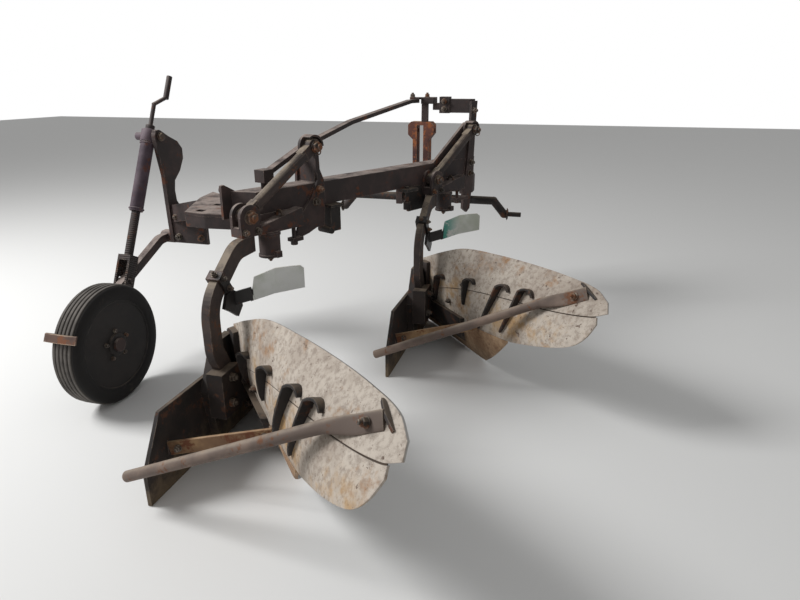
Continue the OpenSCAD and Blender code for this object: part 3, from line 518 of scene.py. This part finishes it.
for which, shift in BODY_SHIFTS:
    ring(which + "_shackle", on_beam(0.178, 0.066, 0.649) + shift, along_beam, 0.013, 0.0042)
    ring(which + "_strut_pin_ring", on_beam(REAR_S, 0.096, 0.838) + shift, along_beam, 0.012, 0.002)
    bolts(which + "_fork_nut", [(on_beam(0.045, FORK_OUT, 0.664) + shift, across_beam)],
          across=0.034, height=0.015, stud=0.008)
    bolts(which + "_carrier_bolts", [
        (on_beam(0.022, FORK_OUT, 0.620) + shift, across_beam),
        (on_beam(0.068, FORK_OUT, 0.620) + shift, across_beam),
        (on_beam(0.130, 0.0655, 0.522) + shift, DOWN),
    ], across=0.017, height=0.010, stud=0.004)
    welds(which + "_carrier_welds", [
        (on_beam(s0, t, z) + shift, on_beam(s1, t, FORK_SEAM) + shift) for s0, s1, t, z in (
            (FORK_REAR, FORK_FRONT, FORK_SIDE, FORK_SEAM), (FORK_FRONT, FORK_FRONT, FORK_OUT, 0.606),
            (FORK_REAR, FORK_FRONT, FORK_IN, FORK_SEAM))
    ], 0.0045)


# Boards: rolled and pressed plough steel. The back is pale and mottled with old soil stains and
# ochre rust; the front is scoured bright by the soil.
def scoured(name, tones, stain, speck, scale, polish):
    """Plough steel: a stained pale back and a polished working side."""
    forward = (0.64, 0.77, 0.0)
    material, tree, surface = new_material(name)
    shade = blend_colour(tree, use(tree, patches, scale=5.0, cut=0.42, edge=0.26), *tones)
    grain = use(tree, patches, scale=70.0, cut=0.44, edge=0.20, seed=18.0)
    shade = blend_colour(tree, product(tree, grain, 0.45), shade, speck)
    height = shader(tree, "ShaderNodeSeparateXYZ", {0: where(tree)}).outputs["Z"]
    band = product(tree, ramp(tree, height, 0.17, 0.26), ramp(tree, height, 0.36, 0.30))
    ochre = product(tree, band, use(tree, patches, scale=6.0, cut=0.46, edge=0.18, seed=19.0))
    shade = blend_colour(tree, product(tree, ochre, 0.7), shade, colour(166, 124, 58))
    stained = use(tree, patches, scale=scale, cut=0.53, edge=0.16, seed=6.0)
    shade = blend_colour(tree, stained, shade, stain)
    specks = use(tree, patches, scale=64.0, cut=0.60, edge=0.06, seed=8.0)
    shade = blend_colour(tree, specks, shade, speck)
    shade = blend_colour(tree, use(tree, low_soil, height=0.2, amount=0.75), shade, colour(112, 90, 66))
    turned = shader(tree, "ShaderNodeVectorMath", {0: facing(tree), 1: forward}, operation="DOT_PRODUCT")
    front = ramp(tree, turned.outputs["Value"], 0.10, 0.25)
    spots = use(tree, patches, scale=11.0, cut=0.60, edge=0.08, seed=9.0)
    worked = blend_colour(tree, spots, colour(176, 174, 170), colour(122, 84, 56))
    tree.links.new(blend_colour(tree, front, shade, worked), surface.inputs["Base Color"])
    bright = product(tree, front, reckon(tree, "SUBTRACT", 1.0, spots))
    tree.links.new(product(tree, bright, polish), surface.inputs["Metallic"])
    rough = shader(tree, "ShaderNodeMapRange", {"Value": bright, "To Min": 0.78, "To Max": 0.34})
    tree.links.new(rough.outputs["Result"], surface.inputs["Roughness"])
    tree.links.new(use(tree, pitted, scale=150.0, depth=0.0004), surface.inputs["Normal"])
    return material


board_steel = scoured("board_steel", (colour(182, 172, 160), colour(156, 144, 132)),
                      colour(146, 114, 84), colour(92, 74, 62), 9.0, 0.85)
share_steel = scoured("share_steel", (colour(176, 148, 118), colour(140, 108, 80)),
                      colour(132, 84, 52), colour(96, 64, 44), 7.0, 0.9)
dress(share_steel, *both("share"))

SHEET = 7.0
HOLLOW, HOLLOW_Z = 430.0, 270.0
EDGE_X, EDGE_Y, EDGE_ANGLE = 250, -176, 40
OPENING, OPEN_AT = 11, 440


def set_back(z):
    """How far the boards' surface lies behind the share's edge at height z, in millimetres."""
    return math.sqrt(HOLLOW ** 2 - (z - HOLLOW_Z) ** 2) - math.sqrt(HOLLOW ** 2 - HOLLOW_Z ** 2)


def board_point(x, z, depth):
    """A point of the boards' surface and the way it faces backward. Its place, and how far it is
    moved behind the surface, are in millimetres; the point is in metres."""
    foot_angle = math.radians(EDGE_ANGLE)
    angle = math.radians(EDGE_ANGLE + OPENING * (max(z, 0) / OPEN_AT) ** 3)
    lean = math.atan2(set_back(z + 4) - set_back(z - 4), 8)
    back = set_back(z)
    px, py = EDGE_X - math.cos(foot_angle) * back, EDGE_Y - math.sin(foot_angle) * back
    y = py - (x - px) / math.tan(angle)
    out = Vector((-math.cos(angle) * math.cos(lean), -math.sin(angle) * math.cos(lean), -math.sin(lean)))
    return (Vector((x, y, z)) + out * depth) / 1000, out


def along(table, x):
    """A smooth curve through a table's points, as a cubic with finite-difference slopes."""
    last = len(table) - 1
    i = max(k for k in range(last) if table[k][0] <= x or k == 0)
    (x0, y0), (x1, y1) = table[i], table[i + 1]
    slopes = []
    for k in (i, i + 1):
        before, after = table[max(k - 1, 0)], table[min(k + 1, last)]
        slopes.append((after[1] - before[1]) / (after[0] - before[0]) * (x1 - x0))
    u = (x - x0) / (x1 - x0)
    return (y0 * (2 * u ** 3 - 3 * u ** 2 + 1) + slopes[0] * (u ** 3 - 2 * u ** 2 + u)
            + y1 * (3 * u ** 2 - 2 * u ** 3) + slopes[1] * (u ** 3 - u ** 2))


def sheet_piece(name, low, high, x0, x1, depths, shift, material, columns=84, rows=16):
    """A pressed sheet between two smooth edges, with its front and back skins joined all round."""
    bm = bmesh.new()
    grids = []
    for depth in depths:
        grid = []
        for i in range(columns + 1):
            x = x0 + (x1 - x0) * i / columns
            foot, head = low(x), high(x)
            grid.append([bm.verts.new(board_point(x, foot + (head - foot) * j / rows, depth)[0] + shift)
                         for j in range(rows + 1)])
        grids.append(grid)
    front, back = grids
    for i in range(columns):
        for j in range(rows):
            bm.faces.new((front[i][j], front[i + 1][j], front[i + 1][j + 1], front[i][j + 1]))
            bm.faces.new((back[i][j], back[i][j + 1], back[i + 1][j + 1], back[i + 1][j]))
        for j in (0, rows):
            bm.faces.new((front[i][j], front[i + 1][j], back[i + 1][j], back[i][j]))
    for i in (0, columns):
        for j in range(rows):
            bm.faces.new((front[i][j], front[i][j + 1], back[i][j + 1], back[i][j]))
    bmesh.ops.recalc_face_normals(bm, faces=bm.faces)
    piece = finished(name, bm, material)
    soften(piece, 0.0012, angle=40)
    piece.modifiers.new("flat_faces", "WEIGHTED_NORMAL")
    return piece


TOP_EDGE = ((38, 352), (130, 402), (233, 442), (370, 455), (520, 458), (640, 454), (715, 445), (745, 425))
SEAM = ((38, 205), (140, 262), (220, 294), (300, 316), (420, 338), (580, 360), (700, 384), (745, 402))
TAIL = ((60, 128), (250, 167.5), (443, 208), (520, 237), (600, 272), (655, 302), (690, 336), (715, 372))
JOINT_HALF, SOIL_HALF = 1.2, 1.3
soil = weathered(
    "packed_soil", paint=colour(38, 30, 24), faded=colour(58, 46, 36), rust=colour(70, 50, 36),
    bare=colour(80, 66, 54), dust_and_sunlight=colour(84, 70, 56), roughness=0.95, seed=14.0)
for which, shift in BODY_SHIFTS:
    upper = sheet_piece(
        which + "_upper_board", lambda x: along(SEAM, x) + JOINT_HALF, lambda x: along(TOP_EDGE, x),
        38, 744.4, (0.0, SHEET), shift, board_steel)
    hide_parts(which + "_moldboard_upper")
    lower = sheet_piece(
        which + "_lower_board", lambda x: along(TAIL, x), lambda x: along(SEAM, x) - JOINT_HALF,
        60, 715, (0.0, SHEET), shift, board_steel)
    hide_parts(which + "_moldboard_lower")
    sheet_piece(
        which + "_seam_soil", lambda x: along(SEAM, x) - SOIL_HALF, lambda x: along(SEAM, x) + SOIL_HALF,
        62, 712, (1.6, 5.6), shift, soil, columns=60, rows=1)


# Plough bolts: their nuts and washers sit on the boards' backs, their square-necked heads are
# ground flush with the working side; the frogs, legs and landsides are bolted from the side.
BOARD_BOLTS = ((81, 241), (252, 322), (185, 230), (390, 349), (315, 210), (473, 359))
LANDSIDE_BOLTS = ((-0.060, 0.058), (-0.112, 0.150), (-0.200, 0.060), (-0.215, 0.190), (-0.440, 0.110))
LANDSIDE_FACE, FROG_FACE, FROG_PLATE = -0.0062, 0.0835, 0.0315


def flush_heads(name, places, segments, low, high, deep, material):
    """Countersunk heads that stand a hair proud of a face; each place is (point, axis)."""
    bm = bmesh.new()
    for point, axis in places:
        stand = Matrix.Translation(point) @ axis.to_track_quat("Z", "Y").to_matrix().to_4x4()
        bmesh.ops.create_cone(
            bm, cap_ends=True, segments=segments, radius1=low, radius2=high, depth=deep, matrix=stand)
    finished(name, bm, material, smooth=False)


for which, shift in BODY_SHIFTS:
    backs = [board_point(x, z, SHEET) for x, z in BOARD_BOLTS]
    bolts(which + "_board_nuts", [(place + shift, out) for place, out in backs],
          across=0.018, height=0.010, stud=0.005)
    fronts = [board_point(x, z, -0.1) for x, z in BOARD_BOLTS]
    flush_heads(which + "_board_bolt_heads", [(place + shift, out) for place, out in fronts],
                28, 0.0105, 0.0115, 0.0012, board_steel)
    bolts(which + "_frog_bolts", [
        (Vector((x, y, z)) + shift, RIGHT) for x, y, z in (
            (FROG_FACE, -0.212, 0.236), (FROG_FACE, -0.226, 0.160),
            (FROG_PLATE, -0.060, 0.058), (FROG_PLATE, -0.112, 0.150))
    ], across=0.022, height=0.012, stud=0.006)
    flush_heads(which + "_landside_bolt_heads",
                [(Vector((LANDSIDE_FACE, y, z)) + shift, LEFT) for y, z in LANDSIDE_BOLTS],
                24, 0.0125, 0.0105, 0.0016, dark_steel)


# Stays: a tube from behind the landside's heel, its far end hammered flat and bolted to the
# wing, and a flat bar from the landside to the lower piece. Both keep bare, brown steel.
stay_steel = weathered(
    "stay_steel", paint=colour(92, 78, 70), faded=colour(120, 102, 90), rust=colour(104, 68, 46),
    bare=colour(170, 156, 140), dust_and_sunlight=colour(160, 146, 128), dust_and_sunlight_amount=0.5, bare_metal=0.6, seed=15.0)
bar_steel = weathered(
    "bar_steel", paint=colour(112, 82, 58), faded=colour(150, 120, 84), rust=colour(104, 62, 40),
    bare=colour(172, 146, 116), dust_and_sunlight=colour(158, 132, 102), rust_cut=0.50, soil=0.10, bare_metal=0.4,
    seed=16.0)
HEEL_Y = -525.0
TUBE_R, BORE, LUG_HALF, LUG_THIN = 0.0150, 0.70, 0.0220, 0.0055
BAR_HALF, STAY_SIDES = 0.005, 28


def capped(bm, loops):
    """A skin over loops of points, closed by a flat face at each end."""
    skin(bm, loops)
    bm.faces.new(loops[0])
    bm.faces.new(tuple(reversed(loops[-1])))
    bmesh.ops.recalc_face_normals(bm, faces=bm.faces)


def swept(name, stations, material):
    """A skin over stations, each a centre, two half axes and how square its section is."""
    bm = bmesh.new()
    loops = []
    for centre, wide, deep, square in stations:
        loop = []
        power = 2.0 / square
        for j in range(STAY_SIDES):
            a = 2 * math.pi * j / STAY_SIDES
            u, v = math.cos(a), math.sin(a)
            u, v = math.copysign(abs(u) ** power, u), math.copysign(abs(v) ** power, v)
            loop.append(bm.verts.new(centre + wide * u + deep * v))
        loops.append(loop)
    capped(bm, loops)
    piece = finished(name, bm, material)
    soften(piece, 0.001, angle=50)
    return piece


for which, shift in BODY_SHIFTS:
    foot = Vector((-0.040, (HEEL_Y - 16) / 1000, 0.097))
    near, out = board_point(560, 372, 30.0)
    run = (near - foot).normalized()
    lug_end, lug_out = board_point(690, 430, 13.5)
    lug_start = board_point(628, 402, 14.5)[0]
    wide = run.cross(out).normalized() * TUBE_R * BORE
    deep = wide.cross(run)
    stations = [(foot + run * inward + shift, wide, deep, 2.0) for inward in (0.030, 0.0005)]
    spine = [(foot, 0.0), (foot.lerp(near, 0.5), 0.0), (foot.lerp(near, 0.93), 0.0), (near, 0.12),
             (near.lerp(lug_start, 0.35), 0.5), (near.lerp(lug_start, 0.7), 0.86), (lug_start, 1.0),
             (lug_start.lerp(lug_end, 0.5), 1.0), (lug_end, 1.0)]
    for number, (centre, flatness) in enumerate(spine):
        ahead = spine[min(number + 1, len(spine) - 1)][0] - spine[max(number - 1, 0)][0]
        ahead.normalize()
        wide = ahead.cross(lug_out if flatness > 0.5 else out).normalized()
        deep = wide.cross(ahead)
        stations.append((centre + shift, wide * (TUBE_R + (LUG_HALF - TUBE_R) * flatness),
                         deep * (TUBE_R + (LUG_THIN - TUBE_R) * flatness), 2.0 + 3.0 * flatness))
    tube = swept(which + "_pressed_tube_stay", stations, stay_steel)
    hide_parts(which + "_tube_stay")
    bolts(which + "_stay_bolt", [(lug_start.lerp(lug_end, 0.45) + lug_out * LUG_THIN + shift, lug_out)],
          across=0.019, height=0.011, stud=0.008)

    heel = Vector((0.012, (HEEL_Y + 95) / 1000, 0.120))
    board_end = board_point(325, 203, 13.0)[0]
    run = (board_end - heel).normalized()
    side = run.cross(UP).normalized()
    tall = side.cross(run)
    path = [(heel, 0.020), (heel.lerp(board_end, 0.5), 0.0195), (board_end, 0.018)]
    bar = swept(which + "_flat_bar_stay", [
        (centre + shift, side * BAR_HALF, tall * half, 9.0) for centre, half in path],
        bar_steel)
    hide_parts(which + "_flat_stay")
    bolts(which + "_flat_stay_bolts", [
        (place + side * BAR_HALF + shift, side) for place in (heel + run * 0.030, board_end - run * 0.024)
    ], across=0.016, height=0.009, stud=0.004)
    welds(which + "_stay_welds", [
        (heel + Vector((-0.006, 0, 0.020)) + shift, heel + Vector((-0.006, 0, -0.020)) + shift),
        (foot + Vector((0.046, 0.020, 0.016)) + shift, foot + Vector((0.046, 0.052, 0.016)) + shift),
    ], 0.0045)


# Ribs: flame-cut fins of flat steel welded on edge to the boards' backs, each with its top
# curled over the joint like a hook; nearly black.
RIBS_AT = (
    ((115, 201), (135, 307), (150, 319), (158, 306)),
    ((257, 250), (271, 342), (290, 354), (300, 340)),
    ((329, 195), (405, 368), (427, 378), (437, 362)),
    ((419, 229), (487, 380), (511, 390), (521, 374)),
    ((712, 424), (692, 437), (676, 446), (668, 447)),
)
RIB_HALF, RIB_DEEP, LOW_RIB, RIB_SQUARE = 0.0042, 32.0, 0.45, 8.0
SEATED = 0.4


def rib_route(low_end, knee, hook, tip):
    """Points up the board and round the hook, each with its share of the rib's full depth."""
    route = []
    for k in range(9):
        u = k / 8
        place = [low_end[i] + (knee[i] - low_end[i]) * u for i in (0, 1)]
        route.append((place, 0.28 + 0.72 * u ** 0.8))
    corner = [2 * hook[i] - (knee[i] + tip[i]) / 2 for i in (0, 1)]
    for k in range(1, 7):
        u = k / 6
        place = [(1 - u) ** 2 * knee[i] + 2 * u * (1 - u) * corner[i] + u * u * tip[i] for i in (0, 1)]
        route.append((place, 1.0 - 0.62 * u ** 1.5))
    return route


for which, shift in BODY_SHIFTS:
    for number, points in enumerate(RIBS_AT, 1):
        route = rib_route(*points)
        tall = RIB_DEEP * (LOW_RIB if number == len(RIBS_AT) else 1.0)
        centres = [board_point(x, z, SHEET + tall * part / 2 - SEATED) for (x, z), part in route]
        stations = []
        for k, ((centre, out), (_, part)) in enumerate(zip(centres, route)):
            ahead = (centres[min(k + 1, len(centres) - 1)][0] - centres[max(k - 1, 0)][0]).normalized()
            side = ahead.cross(out).normalized()
            stations.append((centre + shift, side * RIB_HALF, out * (tall * part / 2000), RIB_SQUARE))
        rib = swept("%s_rib_%d" % (which, number), stations, dark_steel)
        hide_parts(which + "_board_brackets")


# Trashboards: bent sheet, galvanised or painted silver once, scratched and stained at the rim;
# the front one keeps some green-blue paint.
silver_plate = weathered(
    "silver_plate", paint=colour(208, 208, 204), faded=colour(176, 180, 166), rust=colour(140, 112, 84),
    bare=colour(206, 204, 198), dust_and_sunlight=colour(176, 166, 146), rust_cut=0.64, dust_and_sunlight_amount=0.4,
    roughness=0.42, metal=0.10, bare_metal=0.6, seed=5.0)
PLATE_FROM, BETWEEN_BODIES = 0.122, 0.36
CLAMP_BLACK, CLAMP_RUST, TEAL = colour(30, 26, 25), colour(70, 48, 38), colour(70, 142, 128)
tree = silver_plate.node_tree
base = tree.nodes["Principled BSDF"].inputs["Base Color"]
bright = base.links[0].from_socket
across = shader(tree, "ShaderNodeSeparateXYZ", {0: where(tree)}).outputs["X"]
front_one = reckon(tree, "GREATER_THAN", across, BETWEEN_BODIES)
local = reckon(tree, "MULTIPLY_ADD", front_one, -STEP_RIGHT, across)
near_arm = product(tree, ramp(tree, local, 0.190, 0.125), front_one)
painted = product(tree, near_arm, use(tree, patches, scale=18.0, cut=0.40, edge=0.10, seed=20.0))
bright = blend_colour(tree, painted, bright, TEAL)
clamp = blend_colour(tree, use(tree, patches, scale=14.0, cut=0.52, edge=0.12), CLAMP_BLACK, CLAMP_RUST)
on_plate = ramp(tree, local, PLATE_FROM - 0.0005, PLATE_FROM + 0.0005)
tree.links.new(blend_colour(tree, on_plate, clamp, bright), base)
dress(silver_plate, *both("trashboard"))
CLAMP_AT, CLAMP_LEAN = Vector((0.045, -0.165, 0.508)), math.radians(34.6)
CLAMP_END, CLAMP_SIDE = 0.0353, 0.0218
for which, shift in BODY_SHIFTS:
    tilt = Matrix.Rotation(CLAMP_LEAN, 3, "X")
    bolts(which + "_clamp_bolts", [
        (CLAMP_AT + shift + tilt @ Vector((x, 0.0, z)), axis) for x, z, axis in (
            (0.0, CLAMP_END, tilt @ UP), (0.0, -CLAMP_END, tilt @ DOWN),
            (CLAMP_SIDE, 0.022, RIGHT), (CLAMP_SIDE, -0.022, RIGHT))
    ], across=0.014, height=0.008, stud=0.004)


# Depth wheel: pressed disc and rim, nearly black, on a stub axle; the disc is held by small
# bolts round the hub.
wheel_steel = weathered(
    "wheel_steel", paint=colour(26, 23, 22), faded=colour(38, 33, 31), rust=colour(70, 48, 36),
    bare=colour(84, 76, 70), dust_and_sunlight=colour(96, 86, 74), rust_cut=0.63, bare_metal=0.4, seed=7.0)
dress(wheel_steel, "depth_wheel")
HUB = Vector((-0.487, -0.050, 0.206))
bolts("wheel_bolts", [
    (HUB + Vector((0.032, 0.050 * math.cos(a), 0.050 * math.sin(a))), RIGHT)
    for a in (math.radians(72 * k + 18) for k in range(5))
], body="depth_wheel", across=0.012, height=0.007)
ring("rim_lip", HUB + RIGHT * 0.038, RIGHT, 0.152, 0.0035, "depth_wheel", wheel_steel)


# Tyre: solid implement tyre with round shoulders and five ribs round it; the side is black, the
# ribs are worn pale and dusty.
rubber, tree, surface = new_material("rubber")
from_hub = shader(tree, "ShaderNodeVectorMath", {0: where(tree), 1: HUB}, operation="SUBTRACT").outputs[0]
flat = shader(tree, "ShaderNodeVectorMath", {0: from_hub, 1: (0.0, 1.0, 1.0)}, operation="MULTIPLY")
radius = shader(tree, "ShaderNodeVectorMath", {0: flat.outputs[0]}, operation="LENGTH").outputs["Value"]
tread = ramp(tree, radius, 0.1990, 0.2045)
worn = use(tree, patches, scale=10.0, cut=0.34, edge=0.3)
dusty = product(tree, tread, reckon(tree, "MULTIPLY_ADD", worn, 0.35, 0.3))
soiled = use(tree, patches, scale=13.0, cut=0.58, edge=0.14, seed=11.0)
side = blend_colour(tree, soiled, colour(26, 24, 23), colour(56, 49, 42))
tree.links.new(blend_colour(tree, dusty, side, colour(118, 112, 106)), surface.inputs["Base Color"])
tree.links.new(use(tree, pitted, scale=90.0, depth=0.0005), surface.inputs["Normal"])
surface.inputs["Roughness"].default_value = 0.88

TYRE_R, TYRE_HALF, TYRE_TURNS = 0.206, 0.046, 144
TYRE_RIBS, GROOVE = 5, 0.0055
shoulder = [(-0.040, TYRE_R - 0.056), (-0.0445, TYRE_R - 0.042), (-TYRE_HALF, TYRE_R - 0.030),
            (-TYRE_HALF + 0.001, TYRE_R - 0.020), (-TYRE_HALF + 0.003, TYRE_R - 0.012),
            (-TYRE_HALF + 0.009, TYRE_R - 0.005)]
outline = list(shoulder)
tread_from = -TYRE_HALF + 0.010
pitch = -2 * tread_from / TYRE_RIBS
for rib in range(TYRE_RIBS):
    start = tread_from + rib * pitch
    crown = TYRE_R - (0.0012 if rib in (0, TYRE_RIBS - 1) else 0.0)
    flank = [(0.0014, crown - GROOVE), (0.0026, crown - 0.0008), (0.0038, crown)]
    outline += [(start + x, r) for x, r in flank] + [(start + pitch - x, r) for x, r in reversed(flank)]
outline += [(-x, r) for x, r in reversed(shoulder)]
bm = bmesh.new()
loops = []
for i in range(TYRE_TURNS):
    a = 2 * math.pi * i / TYRE_TURNS
    loops.append([bm.verts.new(HUB + Vector((x, r * math.cos(a), r * math.sin(a)))) for x, r in outline])
skin(bm, loops, round_again=True)
bmesh.ops.recalc_face_normals(bm, faces=bm.faces)
tyre = finished("ribbed_tyre", bm, rubber, "depth_wheel")
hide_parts("depth_wheel_tyre")
tyre.modifiers.new("flat_faces", "WEIGHTED_NORMAL")


# Scraper: a short strap bent round the tread from the hub's side, that keeps soil off the ribs;
# rust-brown, its top edge rubbed bright.
scraper_steel = weathered(
    "scraper_steel", paint=colour(70, 50, 42), faded=colour(98, 72, 58), rust=colour(112, 70, 46),
    bare=colour(190, 170, 150), dust_and_sunlight=colour(150, 130, 110), rust_cut=0.50, bare_metal=0.6, seed=17.0)
STRAP_FROM, STRAP_LONG, STRAP_BOW, STRAP_STEPS = -0.0515, 0.1135, 0.002, 24
ARM_THICK = 0.006
STRAP_SECTION = ((0.0055, 0.084), (0.0110, 0.084), (0.0232, 0.108), (0.0177, 0.108))
ARM_SIDE = (
    (-0.2005, 0.084), (-0.1950, 0.084), (-0.160, 0.062), (-0.060, -0.006), (0.000, -0.034),
    (0.034, 0.000), (0.000, 0.034), (-0.060, 0.022), (-0.160, 0.096), (-0.1828, 0.108),
    (-0.1883, 0.108))
bm = bmesh.new()
strap = []
for k in range(STRAP_STEPS + 1):
    x = STRAP_FROM + STRAP_LONG * k / STRAP_STEPS
    bow = STRAP_BOW * (1 - (2 * k / STRAP_STEPS - 1) ** 2)
    strap.append([bm.verts.new(HUB + Vector((x, -TYRE_R + y - bow, z))) for y, z in STRAP_SECTION])
capped(bm, strap)
capped(bm, [[bm.verts.new(HUB + Vector((x, y, z))) for y, z in ARM_SIDE]
            for x in (STRAP_FROM, STRAP_FROM - ARM_THICK)])
scraper = finished("strap_scraper", bm, scraper_steel, "wheel_arm", smooth=False)
soften(scraper, 0.001)
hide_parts("wheel_scraper")


# Screw jack: a drawn tube with faded purple-grey paint, a collar at its top and a band at its
# mouth, over a threaded rod. The horn is bolted and welded to the wheel's carrier.
jack_paint = weathered(
    "jack_paint", paint=colour(60, 46, 56), faded=colour(88, 74, 82), rust=colour(92, 56, 46),
    bare=colour(150, 140, 140), dust_and_sunlight=colour(140, 128, 124), dust_and_sunlight_amount=0.5, seed=12.0)
dress(jack_paint, "jack_tube")
screw_steel = weathered(
    "screw_steel", paint=colour(44, 37, 36), faded=colour(64, 52, 48), rust=colour(88, 58, 42),
    bare=colour(136, 122, 108), dust_and_sunlight=colour(120, 106, 92), dust_and_sunlight_amount=0.4, bare_metal=0.6, seed=21.0)
THREAD_PITCH, THREAD_DEEP = 0.008, 0.0016
JACK_TOP, JACK_EYE = Vector((-0.618, 0.478, 0.848)), Vector((-0.618, 0.222, 0.337))
jack_down = (JACK_EYE - JACK_TOP).normalized()
tree = screw_steel.node_tree
normal = tree.nodes["Principled BSDF"].inputs["Normal"]
along_rod = shader(tree, "ShaderNodeVectorMath", {0: where(tree), 1: (0.0, 0.448, 0.894)},
                   operation="DOT_PRODUCT").outputs["Value"]
groove = reckon(tree, "SINE", product(tree, along_rod, 2 * math.pi / THREAD_PITCH))
thread = shader(tree, "ShaderNodeBump", {
    "Height": groove, "Distance": THREAD_DEEP, "Strength": 1.0, "Normal": normal.links[0].from_socket,
})
tree.links.new(thread.outputs["Normal"], normal)
dress(screw_steel, "jack_rod")
ring("jack_tube_band", JACK_TOP + jack_down * 0.292, jack_down, 0.0255, 0.0035, "jack_tube", jack_paint)
ring("jack_tube_collar", JACK_TOP + jack_down * 0.030, jack_down, 0.0262, 0.003, "jack_tube", jack_paint)
bolts("jack_trunnion_nut", [(JACK_TOP + RIGHT * 0.054, RIGHT)], across=0.026, height=0.009)
HORN_Y = 0.490
bolts("horn_bolts", [
    ((x, HORN_Y, z), BACK) for x in (-0.545, -0.440) for z in (0.448, 0.532)
], across=0.022, height=0.012, stud=0.007)
welds("horn_welds", [
    ((-0.570, HORN_Y + 0.006, 0.424), (-0.570, HORN_Y + 0.006, 0.558)),
    ((-0.418, HORN_Y, 0.560), (-0.540, HORN_Y, 0.560)),
], 0.006)
